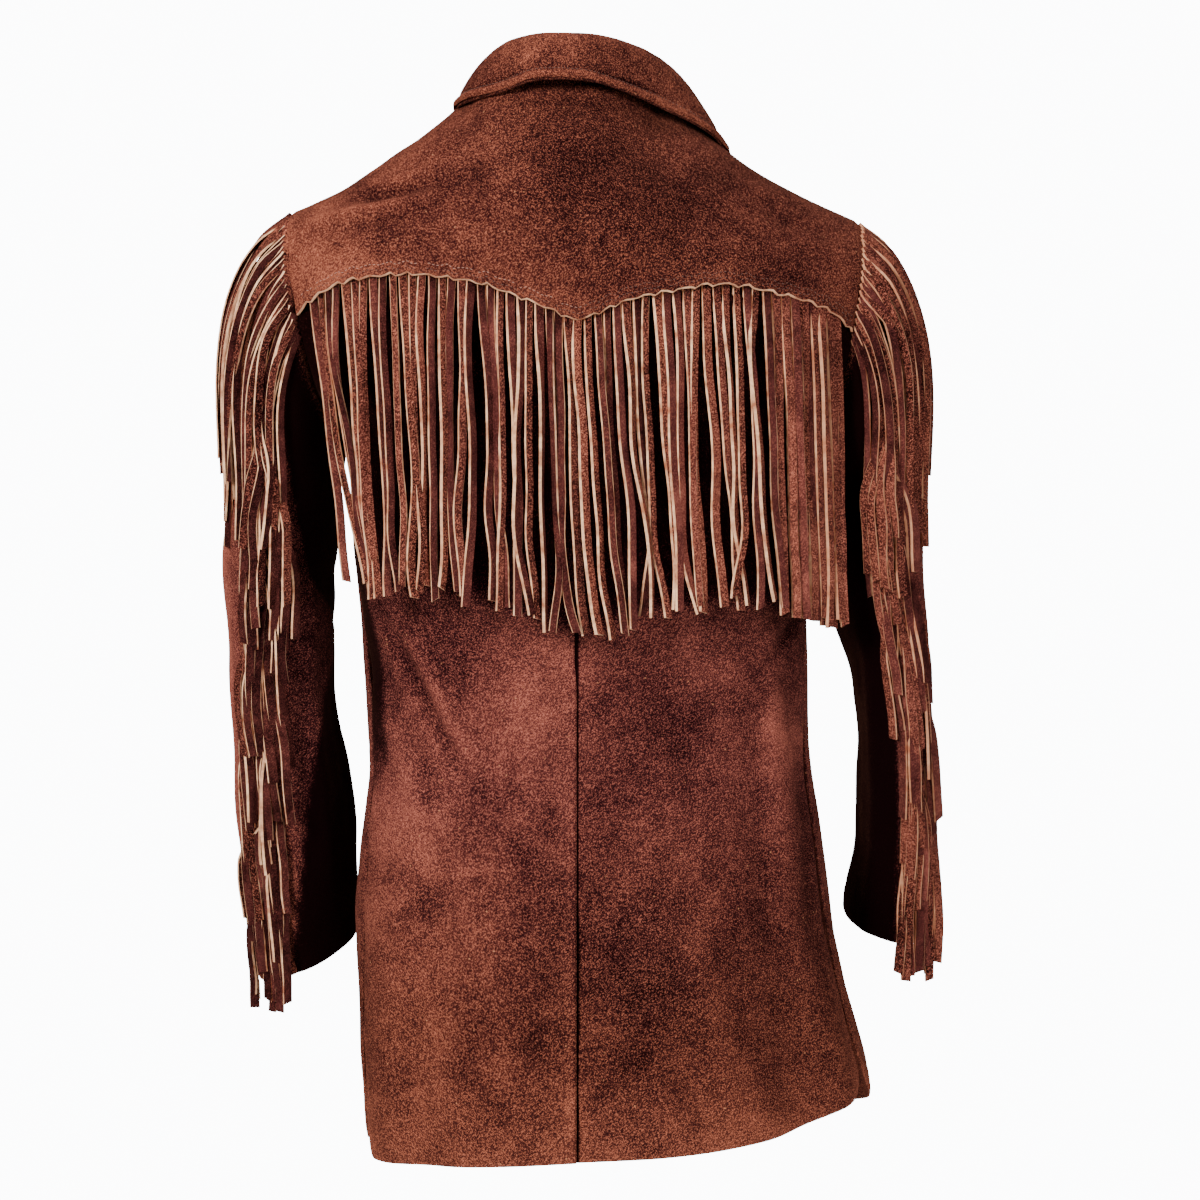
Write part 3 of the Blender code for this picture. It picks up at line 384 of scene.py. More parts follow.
def cubic(values, at):
    """Values between the rows of an array, on cubics through the rows."""
    ends = 2.0 * values[:1] - values[1:2], 2.0 * values[-1:] - values[-2:-1]
    padded = np.concatenate((ends[0], values, ends[1]))
    i = np.clip(np.floor(at).astype(int), 0, len(values) - 2)
    u = (at - i).reshape((-1,) + (1,) * (values.ndim - 1))
    a, b, c, d = (padded[i + k] for k in range(4))
    return b + 0.5 * u * (c - a + u * (2.0 * a - 5.0 * b + 4.0 * c - d + u * (3.0 * (b - c) + d - a)))


def places(points, spacing, edges=EDGE_LINES):
    """Where the fine rows lie among the coarse ones, closer together at both ends."""
    lengths = travelled(points)
    total = lengths[-1]
    even = np.linspace(edges[-1], total - edges[-1], max(3, round(total / spacing)))
    at = [0.0, *edges[:-1], *even, *(total - edge for edge in edges[-2::-1]), total]
    return np.interp(at, lengths, np.arange(len(points)))


def refined(grid, spacing=SPACING):
    """The same sheet with many more rows and columns, spaced as its middle row and column need."""
    grid = np.array(grid)
    middle_row, middle_column = grid[len(grid) // 2], grid[:, grid.shape[1] // 2]
    grid = cubic(grid, places(middle_column, spacing))
    return cubic(grid.transpose(1, 0, 2), places(middle_row, spacing)).transpose(1, 0, 2)


def normals_of(grid, outward):
    """The directions across a sheet, on the side that `outward` (an array like the grid's) points to."""
    across, up = np.gradient(grid, axis=1), np.gradient(grid, axis=0)
    normals = unit(np.cross(across, up))
    return normals * np.sign(np.median(np.sum(normals * outward, axis=2)))


def distances(grid):
    """How far each point is from the first and last row and the first and last column."""
    steps = [np.linalg.norm(np.diff(grid, axis=axis), axis=2) for axis in (0, 1)]
    down = np.concatenate((np.zeros((1, grid.shape[1])), np.cumsum(steps[0], axis=0)))
    over = np.concatenate((np.zeros((grid.shape[0], 1)), np.cumsum(steps[1], axis=1)), axis=1)
    return {"low": down, "high": down[-1:] - down, "first": over, "last": over[:, -1:] - over}


def rolled(distance, depth, width):
    """A seam's edge turns in by `depth` over `width`."""
    return -depth * (1.0 - ease(distance / width))


def rolled_edges(gaps, **edges):
    """Several edges of a panel turn in; each is given as (depth, width)."""
    return sum(rolled(gaps[edge], *roll) for edge, roll in edges.items())


def ridge(distance, middle, width):
    """1 on a line at the distance `middle`, falling to 0 on both sides of it."""
    return np.exp(-((distance - middle) / width) ** 2)


def creased(grid, creases):
    """How far out the creases push each point. A crease is a line of points, a half width and a height;
    a point given by its place across and its height alone lies on the sheet."""
    moved = np.zeros(grid.shape[:2])
    flat = grid.reshape(-1, 3)
    for line, width, height in creases:
        line = np.array(line, dtype=float)
        if len(line) < 3:
            fine = line[0] + (line[1] - line[0]) * np.linspace(0.0, 1.0, 4 * len(line) + 1)[:, None]
        else:
            fine = cubic(line, np.linspace(0.0, len(line) - 1.0, 5 * len(line)))
        if fine.shape[1] == 2:
            near = [np.argmin(np.hypot(flat[:, 0] - point[0], flat[:, 2] - point[1])) for point in fine]
            fine = np.stack((fine[:, 0], flat[near, 1], fine[:, 1]), axis=1)
        best = np.full(moved.shape, np.inf)
        part = np.zeros(moved.shape)
        lengths = travelled(fine)
        for k, (start, end) in enumerate(zip(fine, fine[1:])):
            step = end - start
            u = np.clip(np.sum((grid - start) * step, axis=2) / np.dot(step, step), 0.0, 1.0)
            gap = np.linalg.norm(grid - start - u[..., None] * step, axis=2)
            share = (lengths[k] + u * (lengths[k + 1] - lengths[k])) / lengths[-1]
            part = np.where(gap < best, share, part)
            best = np.minimum(best, gap)
        taper = np.clip(np.sin(math.pi * np.clip(part, 0.0, 1.0)), 0.0, 1.0) ** 0.7
        moved += height * taper * ridge(best, 0.0, width)
        moved -= 0.35 * height * taper * ridge(best, 2.1 * width, width)   # the swell beside a crease
    return moved


def hand(grid, seed, height=0.0009):
    """The slight unevenness that soft hide always has."""
    draw = np.random.default_rng(seed)
    moved = np.zeros(grid.shape[:2])
    for wavelength in (0.16, 0.11, 0.075, 0.05, 0.034):
        for _ in range(2):
            direction = unit(draw.normal(size=3)) * 2.0 * math.pi / wavelength
            moved += wavelength / 0.16 * np.sin(grid @ direction + draw.uniform(0.0, 6.3))
    return moved * height


# ---------------------------------------------------------------- meshes
def add_wall(mesh, outer, inner, tone, rims=(), brushed=0.0):
    """Adds a closed wall between two sheets of points. Its rims on the sides named take the second material."""
    rows, columns = outer.shape[:2]
    number = mesh.verts.layers.int.get("number") or mesh.verts.layers.int.new("number")
    shade = mesh.verts.layers.float.get("tone") or mesh.verts.layers.float.new("tone")
    nap = mesh.verts.layers.float.get("brushed") or mesh.verts.layers.float.new("brushed")
    made = bmesh.ops.create_grid(mesh, x_segments=columns - 1, y_segments=rows - 1, size=1.0)["verts"]
    for index, vertex in enumerate(made):
        vertex[number] = index
    faces = list({face for vertex in made for face in vertex.link_faces})
    turned = bmesh.ops.extrude_face_region(mesh, geom=faces)["geom"]
    copies = [item for item in turned if isinstance(item, bmesh.types.BMVert)]
    flat_outer, flat_inner = outer.reshape(-1, 3), inner.reshape(-1, 3)
    tones = np.broadcast_to(tone, (rows, columns)).reshape(-1)
    for vertices, points in ((made, flat_outer), (copies, flat_inner)):
        for vertex in vertices:
            vertex.co = Vector(points[vertex[number]])
            vertex[shade] = tones[vertex[number]]
            vertex[nap] = brushed
    shell = list({face for vertex in made + copies for face in vertex.link_faces})
    bmesh.ops.recalc_face_normals(mesh, faces=shell)
    if rims:
        outside = set(made)
        for face in shell:
            mixed = {vertex in outside for vertex in face.verts}
            if len(mixed) == 1:
                continue
            at = [divmod(vertex[number], columns) for vertex in face.verts]
            sides = {"low": all(row == 0 for row, _ in at), "high": all(row == rows - 1 for row, _ in at),
                     "first": all(column == 0 for _, column in at),
                     "last": all(column == columns - 1 for _, column in at)}
            if any(sides[name] for name in rims):
                face.material_index = 1


def placed(name, data):
    """An object of this data, in the scene."""
    made = bpy.data.objects.new(name, data)
    bpy.context.scene.collection.objects.link(made)
    return made


def finished(mesh, name, finishes, replaces=None, sharp=38.0):
    """An object of a made mesh, riding on the jacket's one body. It replaces the node of its own name,
    unless others are given."""
    data = bpy.data.meshes.new(name)
    mesh.to_mesh(data)
    mesh.free()
    for finish in finishes:
        data.materials.append(materials()[finish])
    data.shade_smooth()
    data.set_sharp_from_angle(angle=math.radians(sharp))
    made = placed(name, data)
    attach(made, "root")
    replaces = (name,) if replaces is None else replaces
    if replaces:
        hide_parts(*replaces)
    return made


def worn_edge(made):
    """Takes the sharpness off the hide's cut edges."""
    edge = made.modifiers.new("worn edge", "BEVEL")
    edge.width, edge.segments, edge.limit_method, edge.angle_limit = 0.0004, 2, "ANGLE", math.radians(50.0)


def panel(name, grid, outward, displaced, tone, rim_finish="cut_edge", rims=(), thickness=HIDE, skived=False):
    """A shell of hide on a sheet of points moved out by `displaced`. Returns the object and its outer points."""
    outer = grid + normals_of(grid, outward) * displaced[..., None]
    inner = outer - normals_of(outer, outward) * thickness
    if skived:
        inner[0] += unit(outer[0] - outer[1]) * 0.0009
    mesh = bmesh.new()
    add_wall(mesh, outer, inner, tone, rims)
    made = finished(mesh, name, ("suede_brushed", rim_finish))
    worn_edge(made)
    return made, outer


def declared(outer):
    """Works out the panel's own area from its outer points, and keeps nothing."""
    across, up = np.diff(outer, axis=1)[:-1], np.diff(outer, axis=0)[:, :-1]
    area = float(np.linalg.norm(np.cross(across, up), axis=2).sum())


# ---------------------------------------------------------------- materials
STRAND_WIDTH, STRAND_LENGTH = 0.00066, 0.0019
STRAND_TURNS = (0.5, 0.6, 0.2), (-0.6, -0.5, 0.9)
# layers of uneven tone, each a noise (scale, detail, roughness, distortion) and its weight
BROAD = (((11.0, 3.0, 0.5, 0.4), 0.22), ((60.0, 4.0, 0.6, 0.3), 0.26))
CLUMPS, CLUMPS_WEIGHT, HAIRS_WEIGHT, PILE_WEIGHT = (240.0, 3.0, 0.6), 0.08, 0.52, 0.30
NAP = (1250.0, 1.0, 0.6)
TONE_GAIN, HIDE_LEVEL, STRIP_LEVEL, CONTRAST = 0.5, 0.366, 0.45, 0.625
COOL, SMOOTH_FACE = (0.98, 0.94, 1.20, 1.0), (1.0, 0.98, 1.16, 1.0)   # tints: round the waist, smooth strips


class Finish:
    """A new material, with short ways to make and join its nodes. A value is a socket, a number or a colour."""

    def __init__(self, name):
        self.material = bpy.data.materials.new(name)
        self.material.use_nodes = True
        self.tree = self.material.node_tree
        self.shader = self.tree.nodes["Principled BSDF"]
        self.where = self.node("ShaderNodeTexCoord").outputs["Object"]

    def node(self, kind, **values):
        made = self.tree.nodes.new(kind)
        for name, value in values.items():
            if name in made.inputs:
                made.inputs[name].default_value = value
            else:
                setattr(made, name, value)
        return made

    def join(self, socket, value):
        if isinstance(value, (int, float, tuple)):
            socket.default_value = value
        else:
            self.tree.links.new(value, socket)

    def set(self, **values):
        """Sets inputs of the shader; an underscore in a name stands for a space."""
        for name, value in values.items():
            self.join(self.shader.inputs[name.replace("_", " ")], value)

    def noise(self, scale, detail=3.0, roughness=0.5, distortion=0.0, where=None):
        made = self.node("ShaderNodeTexNoise", Scale=scale, Detail=detail, Roughness=roughness,
                         Distortion=distortion)
        self.join(made.inputs["Vector"], where or self.where)
        return made.outputs["Fac"]

    def span(self, value, low, high, to_low=0.0, to_high=1.0):
        """A value's range from low to high, as 0 to 1 or as said."""
        made = self.node("ShaderNodeMapRange")
        for name, number in (("From Min", low), ("From Max", high), ("To Min", to_low), ("To Max", to_high),
                             ("Value", value)):
            self.join(made.inputs[name], number)
        return made.outputs["Result"]

    def uneven(self, *layer):
        """A noise as -0.5 to 0.5."""
        return self.span(self.noise(*layer), 0.25, 0.75, -0.5, 0.5)

    def sum(self, operation, *values):
        """Values added, multiplied or compared, the first two first."""
        total = values[0]
        for value in values[1:]:
            made = self.node("ShaderNodeMath", operation=operation)
            self.join(made.inputs[0], total)
            self.join(made.inputs[1], value)
            total = made.outputs["Value"]
        return total

    def add(self, *values):
        return self.sum("ADD", *values)

    def times(self, *values):
        return self.sum("MULTIPLY", *values)

    def blend(self, factor, first, second, kind="MIX"):
        made = self.node("ShaderNodeMix", data_type="RGBA", blend_type=kind)
        for index, value in ((0, factor), (6, first), (7, second)):
            self.join(made.inputs[index], value)
        return made.outputs[2]

    def attribute(self, name):
        return self.node("ShaderNodeAttribute", attribute_name=name).outputs["Fac"]

    def axes(self):
        """The place along X, Y and Z, each alone."""
        split = self.node("ShaderNodeSeparateXYZ")
        self.join(split.inputs[0], self.where)
        return split.outputs

    def strands(self, turn):
        """Short hairs that all lie about one way."""
        laid = self.node("ShaderNodeMapping", vector_type="TEXTURE", Rotation=turn,
                         Scale=(STRAND_WIDTH, STRAND_WIDTH, STRAND_LENGTH))
        self.join(laid.inputs["Vector"], self.where)
        return self.noise(1.0, 0.0, where=laid.outputs["Vector"])

    def bump(self, height, strength, distance, under=None):
        made = self.node("ShaderNodeBump", Strength=strength, Distance=distance)
        self.join(made.inputs["Height"], height)
        if under:
            self.join(made.inputs["Normal"], under)
        return made.outputs["Normal"]


def suede(name, dark, middle, light, fleck, strips=False):
    """Brushed hide: patches, mottling, a grain of nap, and odd pale fibres. The attribute `tone` lightens or
    darkens it, and `brushed` says how much nap the face of a strip shows."""
    make = Finish(name)
    patches, mottle = (make.times(make.uneven(*layer), weight) for layer, weight in BROAD)
    nap = make.noise(*NAP)
    pile = make.span(nap, 0.37, 0.73, -0.34, 0.62)
    hairs = make.span(make.sum("MAXIMUM", *map(make.strands, STRAND_TURNS)), 0.52, 0.76, -0.26, 1.15)
    tone = make.attribute("tone")
    level = make.add(make.times(tone, TONE_GAIN), STRIP_LEVEL if strips else HIDE_LEVEL, patches, mottle)
    fine = make.add(make.times(make.uneven(*CLUMPS), CLUMPS_WEIGHT), make.times(hairs, HAIRS_WEIGHT),
                    make.times(pile, PILE_WEIGHT))
    if strips:
        brushed = make.attribute("brushed")
        fine = make.times(fine, make.add(make.times(brushed, 0.75), 0.25))
    level = make.times(make.add(level, fine), CONTRAST)
    ramp = make.node("ShaderNodeValToRGB")
    steps = ramp.color_ramp.elements
    steps[0].position, steps[0].color = 0.0, (*(0.25 * part for part in dark), 1.0)
    steps[1].position, steps[1].color = 1.0, (*(1.8 * part for part in light), 1.0)
    for position, colour in ((0.14, dark), (0.325, middle), (0.625, light)):
        steps.new(position).color = (*colour, 1.0)
    make.join(ramp.inputs["Fac"], level)
    colour = ramp.outputs["Color"]
    if strips:
        colour = make.blend(brushed, make.blend(1.0, colour, SMOOTH_FACE, "MULTIPLY"), colour)
    else:
        # the dye has kept its purple round the waist and turned orange at the hem
        height = make.axes()["Z"]
        cool = make.times(make.span(height, -0.74, -0.56), make.span(height, -0.24, -0.40), 0.85)
        colour = make.blend(cool, colour, make.blend(1.0, colour, COOL, "MULTIPLY"))
        cells = make.node("ShaderNodeTexVoronoi", Scale=150.0, Randomness=1.0)
        make.join(cells.inputs["Vector"], make.where)
        specks = make.span(cells.outputs["Distance"], 0.13, 0.06)
        chosen = make.times(make.sum("GREATER_THAN", make.noise(95.0, 1.0), 0.60), make.span(tone, -0.5, 0.1))
        colour = make.blend(make.times(specks, chosen, 0.8), colour, (*fleck, 1.0))
    rough = make.bump(nap, 0.8, 0.0010)
    make.set(Base_Color=colour, Roughness=0.94, Specular_IOR_Level=0.0, Sheen_Weight=0.06, Sheen_Roughness=0.4,
             Sheen_Tint=(0.75, 0.30, 0.20, 1.0), Normal=make.bump(make.noise(120.0, 3.0, 0.6), 0.3, 0.0016, rough))


def cut_edge(name, pale, brown):
    """The pale raw core of the hide, where it was cut."""
    make = Finish(name)
    streak = make.span(make.noise(90.0, 3.0, 0.6), 0.30, 0.62)
    grain = make.span(make.noise(700.0, 2.0), 0.3, 0.7)
    # the cut edges are browner towards both ends of the yoke and on the right sleeve, and pale again on the left sleeve
    across = make.axes()["X"]
    clean = make.sum("MAXIMUM", make.span(across, 0.16, 0.03, 0.60, 1.0),
                     make.span(across, 0.200, 0.230, 0.60, 1.0))
    factor = make.times(streak, make.add(make.times(grain, 0.35), 0.65), clean,
                        make.span(across, -0.190, -0.120, 0.38, 1.0))
    make.set(Base_Color=make.blend(factor, (*brown, 1.0), (*pale, 1.0)), Roughness=0.9, Specular_IOR_Level=0.15,
             Normal=make.bump(make.noise(900.0, 2.0), 0.4, 0.0004))


def thread(name, colour):
    make = Finish(name)
    twist = make.span(make.noise(1500.0, 2.0), 0.3, 0.7)
    dark = (*(0.55 * part for part in colour), 1.0)
    make.set(Base_Color=make.blend(twist, dark, (*colour, 1.0)), Roughness=0.6)


def horn(name, dark, light):
    make = Finish(name)
    cloud = make.span(make.noise(130.0, 4.0, 0.6, 1.5), 0.35, 0.68)
    make.set(Base_Color=make.blend(cloud, (*dark, 1.0), (*light, 1.0)),
             Roughness=make.span(make.noise(300.0), 0.3, 0.7, 0.28, 0.45))


def materials():
    """Every finish, made once."""
    if "cut_edge" not in bpy.data.materials:
        colours = bpy.context.scene.jacket_suede
        suede("suede_brushed", colours.dark, colours.middle, colours.light, colours.fleck)
        suede("suede_strip", colours.strip_dark, colours.strip_middle, colours.strip_light, colours.fleck, True)
        for name, share in (("cut_edge", 1.0), ("cut_edge_dyed", 0.95)):
            cut_edge(name, [share * part for part in colours.edge], [share * part for part in colours.edge_shade])
        thread("thread_pale", (0.42, 0.21, 0.15))
        thread("thread_brown", (0.12, 0.046, 0.029))
        horn("horn_dark", (0.014, 0.007, 0.005), (0.075, 0.037, 0.020))
    return bpy.data.materials


# ---------------------------------------------------------------- body panels
def fine_shares(count=24):
    """Columns from the centre line to the side, closer where the hem's corner turns."""
    return np.concatenate((np.linspace(0.0, 0.84, count - 6), np.linspace(0.84, 1.0, 8)[1:]))


def quarter(side, face, rises, shares):
    """A sheet of the body between rows and columns, drawn in at the side vents."""
    grid = np.array([[body(side, face, share, rise) for share in shares] for rise in rises])
    for row in range(len(grid)):
        back_off = VENT_SPREAD * ease((VENT_HEIGHT - grid[row, -1, 2]) / 0.05)
        grid[row, -1] += unit(grid[row, -2] - grid[row, -1]) * (0.00025 + back_off)
    return grid


def away(grid, across=0.0):
    """Outwards from an upright line."""
    return (grid - np.array((across, 0.0, 0.0))) * (1.0, 1.0, 0.15)


def hem_tone(distance, strength):
    """The hide is worn pale towards its edges."""
    return strength * np.exp(-distance / 0.016)


SEAM_ROLL, HEM_ROLL, TOP_ROLL = (0.0014, 0.005), (0.0007, 0.004), (0.0010, 0.004)   # depth, width
FRINGE_ROOM = 0.0045       # how far a panel falls back under a fringe
EDGE_WAVE = 0.0162         # from crest to crest along the yoke's raw edge
# painted highlight (partly wear) on each crease's ridge and painted shade in its hollow
CREASE_LIGHT_AND_SHADE = {"back": 95.0, "yoke": 70.0, "front": 110.0, "sleeve": 50.0}   # tone per metre of its height
HAND_SEEDS = {("left", BACK): 3, ("right", BACK): 4, ("left", FRONT): 11, ("right", FRONT): 12}
HEM_ROW = 0.024            # topstitching: its distance from the edge
FRONT_ROW = 0.0065
YOKE_ROWS = (0.0092, 0.0046)
LEAF_ROW = 0.0088

# where the hide is lighter or darker, partly wear and partly painted light and shade: across, height, how far it
# reaches, how much
BACK_WEAR_AND_LIGHT = (
    (0.03, -0.47, 0.05, 0.56), (0.09, -0.515, 0.05, 0.36), (0.02, -0.545, 0.035, 0.26),
    (0.148, -0.59, 0.042, 0.8), (0.135, -0.7, 0.05, 0.3), (0.095, -0.65, 0.035, 0.2),
    (0.008, -0.785, 0.016, 0.4), (-0.12, -0.82, 0.045, 0.36), (0.13, -0.805, 0.05, 0.42),
    (-0.01, -0.82, 0.05, 0.18), (-0.08, -0.6, 0.035, 0.14), (0.06, -0.6, 0.02, 0.22),
    (-0.08, -0.52, 0.035, -0.14), (0.035, -0.59, 0.028, -0.3), (-0.152, -0.745, 0.045, -0.14),
    (-0.135, -0.67, 0.045, -0.06), (-0.04, -0.7, 0.04, -0.24), (0.0, -0.65, 0.03, -0.22),
    (0.05, -0.73, 0.025, -0.26), (0.08, -0.785, 0.028, -0.28), (-0.03, -0.765, 0.03, -0.26),
    (0.115, -0.44, 0.03, -0.34), (-0.168, -0.44, 0.022, -0.2), (-0.09, -0.77, 0.03, -0.12),
    (-0.09, -0.45, 0.035, 0.3), (-0.15, -0.56, 0.045, 0.2), (-0.168, -0.52, 0.028, 0.84),
    (0.165, -0.65, 0.026, 0.5),
)
YOKE_WEAR_AND_LIGHT = (
    (0.1, -0.055, 0.045, 0.28), (0.205, -0.13, 0.04, 0.66), (0.02, -0.155, 0.04, 0.2),
    (0.15, -0.15, 0.03, 0.22), (-0.085, -0.1, 0.055, -0.26), (0.095, -0.088, 0.032, -0.28),
    (0.01, -0.088, 0.035, -0.22), (-0.175, -0.15, 0.035, -0.26), (-0.125, -0.15, 0.03, 0.12),
    (-0.05, -0.06, 0.03, -0.14), (0.06, -0.13, 0.035, 0.14), (0.17, -0.084, 0.016, -0.4),
    (0.205, -0.15, 0.05, 0.14), (-0.01, -0.1, 0.075, -0.1), (-0.14, -0.13, 0.06, -0.12),
)


def worn(grid, marks):
    """Soft patches of lighter and darker hide, with wavy borders: partly wear, partly painted light and shade."""
    tone = np.zeros(grid.shape[:2])
    x, z = grid[..., 0], grid[..., 2]
    for across, height, reach, amount in marks:
        bent = 0.011 * np.sin(z * 61.0 + across * 90.0) + 0.006 * np.sin(z * 143.0 + height * 70.0)
        raised = 0.011 * np.sin(x * 57.0 + height * 80.0) + 0.006 * np.sin(x * 151.0 + across * 60.0)
        tone += amount * ridge(np.hypot(x - across + bent, z - height + raised), 0.0, reach)
    return tone


# each crease: its points (across, height), half its width, and how far it stands out
BACK_CREASES = {
    "left": (
        (((0.158, -0.418), (0.122, -0.482), (0.086, -0.552)), 0.0052, -0.0034),
        (((0.14, -0.42), (0.11, -0.48), (0.076, -0.545)), 0.006, 0.0024),
        (((0.163, -0.48), (0.14, -0.53), (0.118, -0.595)), 0.009, 0.002),
        (((0.165, -0.61), (0.12, -0.64), (0.08, -0.635)), 0.012, -0.0014),
        (((0.052, -0.7), (0.06, -0.78), (0.055, -0.835)), 0.014, 0.0016),
        (((0.128, -0.69), (0.135, -0.77), (0.13, -0.84)), 0.013, -0.0016),
        (((0.03, -0.42), (0.045, -0.52), (0.03, -0.61)), 0.016, 0.0011)),
    "right": (
        (((-0.196, -0.4), (-0.172, -0.432), (-0.145, -0.466)), 0.0055, -0.0032),
        (((-0.15, -0.4), (-0.158, -0.56), (-0.172, -0.72)), 0.01, 0.0024),
        (((-0.172, -0.47), (-0.182, -0.6), (-0.198, -0.74)), 0.008, -0.002),
        (((-0.06, -0.47), (-0.085, -0.53), (-0.098, -0.6)), 0.012, -0.0013),
        (((-0.095, -0.66), (-0.11, -0.74), (-0.135, -0.815)), 0.014, 0.0017),
        (((-0.045, -0.69), (-0.05, -0.77), (-0.062, -0.83)), 0.013, -0.0015)),
}
YOKE_CREASES = (
    (((0.178, -0.086), (0.145, -0.085), (0.105, -0.078)), 0.007, -0.0044),
    (((0.215, -0.106), (0.165, -0.101), (0.119, -0.092)), 0.0075, 0.0042),
    (((0.205, -0.135), (0.18, -0.15)), 0.01, -0.0016),
    (((-0.208, -0.118), (-0.17, -0.11), (-0.14, -0.094)), 0.008, -0.0016),
    (((-0.175, -0.085), (-0.13, -0.08)), 0.009, 0.0013),
    (((0.055, -0.052), (0.01, -0.06), (-0.045, -0.056)), 0.01, -0.001),
    (((-0.075, -0.11), (-0.015, -0.1), (0.05, -0.112)), 0.013, 0.001),
)
FRONT_CREASES = {
    "left": (
        (((0.172, -0.255), (0.135, -0.235), (0.095, -0.205)), 0.01, -0.0024),
        (((0.18, -0.3), (0.14, -0.29), (0.1, -0.268)), 0.011, 0.0016),
        (((0.178, -0.44), (0.13, -0.48), (0.085, -0.5)), 0.011, -0.002),
        (((0.172, -0.52), (0.13, -0.535), (0.07, -0.528)), 0.013, 0.0015),
        (((0.11, -0.65), (0.118, -0.74), (0.112, -0.835)), 0.014, -0.0018),
        (((0.055, -0.6), (0.066, -0.7), (0.06, -0.8)), 0.014, 0.0014)),
    "right": (
        (((-0.178, -0.262), (-0.14, -0.24), (-0.1, -0.214)), 0.01, -0.0023),
        (((-0.182, -0.42), (-0.135, -0.465), (-0.09, -0.492)), 0.012, -0.0019),
        (((-0.182, -0.56), (-0.14, -0.56), (-0.08, -0.548)), 0.013, 0.0014),
        (((-0.15, -0.64), (-0.165, -0.73), (-0.172, -0.82)), 0.014, -0.0018),
        (((-0.08, -0.66), (-0.09, -0.74), (-0.095, -0.83)), 0.014, 0.0015)),
}


def make_back(side):
    """One half of the back, from the hem to under the yoke, with the centre seam laid to the left."""
    shares = fine_shares()
    if side == "right":
        shares = np.concatenate(((-0.009, -0.0045), shares))   # under the left half
    tops = [yoke_rise(side, share) + 0.10 for share in shares]
    lower = quarter(side, BACK, np.linspace(0.0, 1.0, 26), shares)
    above = np.array([[body(side, BACK, share, 1.0 + (top - 1.0) * part) for share, top in zip(shares, tops)]
                      for part in np.linspace(0.0, 1.0, 12)[1:]])
    grid = refined(np.concatenate((lower, above)))
    # above the armpit the side goes on into the armhole's seam
    reach = 0.0003 + 0.0075 * ease((grid[:, -1, 2] - ARMPIT_HEIGHT) / 0.010)[:, None]
    grid = np.concatenate((grid, (grid[:, -1] + unit(grid[:, -1] - grid[:, -2]) * reach)[:, None]), axis=1)
    gaps = distances(grid)
    height = grid[..., 2]
    folds = creased(grid, BACK_CREASES[side])
    moved = hand(grid, HAND_SEEDS[side, BACK]) + folds
    moved += rolled_edges(gaps, last=SEAM_ROLL, low=HEM_ROLL)
    if side == "left":
        moved += 0.0011 * ease(gaps["first"] / 0.0012) * (1.0 - ease((gaps["first"] - 0.0078) / 0.003))
        moved += rolled(gaps["first"], 0.0003, 0.0012)
    else:
        moved += rolled(gaps["first"], 0.0030, 0.0050)
    over_edge = height - np.vectorize(yoke_height)(grid[..., 0])
    moved -= (WALL + UNDER * 1.6) * ease((over_edge + 0.010) / 0.010) + 0.0008
    moved -= FRINGE_ROOM * ease((over_edge + 0.120) / 0.060) * ease((gaps["last"] - 0.008) / 0.030)
    moved -= 0.0005 * ridge(gaps["low"], HEM_ROW, 0.0022)
    tone = hem_tone(gaps["low"], 0.42) + hem_tone(gaps["last"], 0.20) * (height < VENT_HEIGHT)
    # painted shade: the back is darkened over the band where the fringe hangs in front of it
    tone = tone + worn(grid, BACK_WEAR_AND_LIGHT) - 1.3 * ease((over_edge + 0.250) / 0.020)
    if side == "left":
        # painted highlight on the ridge beside the centre seam
        tone += 0.26 * ridge(gaps["first"], 0.006, 0.0035)
        # painted shade on the side of the left half, where the sleeve hangs close beside it
        shade_beside_sleeve = ease((height + 0.57) / 0.09) * ease((-0.38 - height) / 0.03)
        tone -= 1.6 * ease((0.034 - gaps["last"]) / 0.014) * shade_beside_sleeve
    else:
        # painted shadow along the centre seam, where the left half laps over the right
        tone -= 2.4 * (1.0 - ease((gaps["first"] - 0.0020) / 0.0016))
    # painted shade towards the side seam, where the sleeve hangs beside it
    tone -= 0.30 * np.exp(-gaps["last"] / 0.020) * ease((height + 0.72) / 0.10)
    made, outer = panel(f"back_{side}", grid, away(grid), moved, tone + folds * CREASE_LIGHT_AND_SHADE["back"])
    declared(outer)


def yoke_sheet():
    """The yoke from armhole to armhole, and the rows of its lower edge."""
    shares = fine_shares()
    columns = [("right", share) for share in shares[::-1]] + [("left", share) for share in shares[1:]]
    foots = [yoke_rise(side, share) for side, share in columns]
    return np.array([[body(side, BACK, share, foot + (2.0 - foot) * part)
                      for (side, share), foot in zip(columns, foots)] for part in np.linspace(0.0, 1.0, 18)])


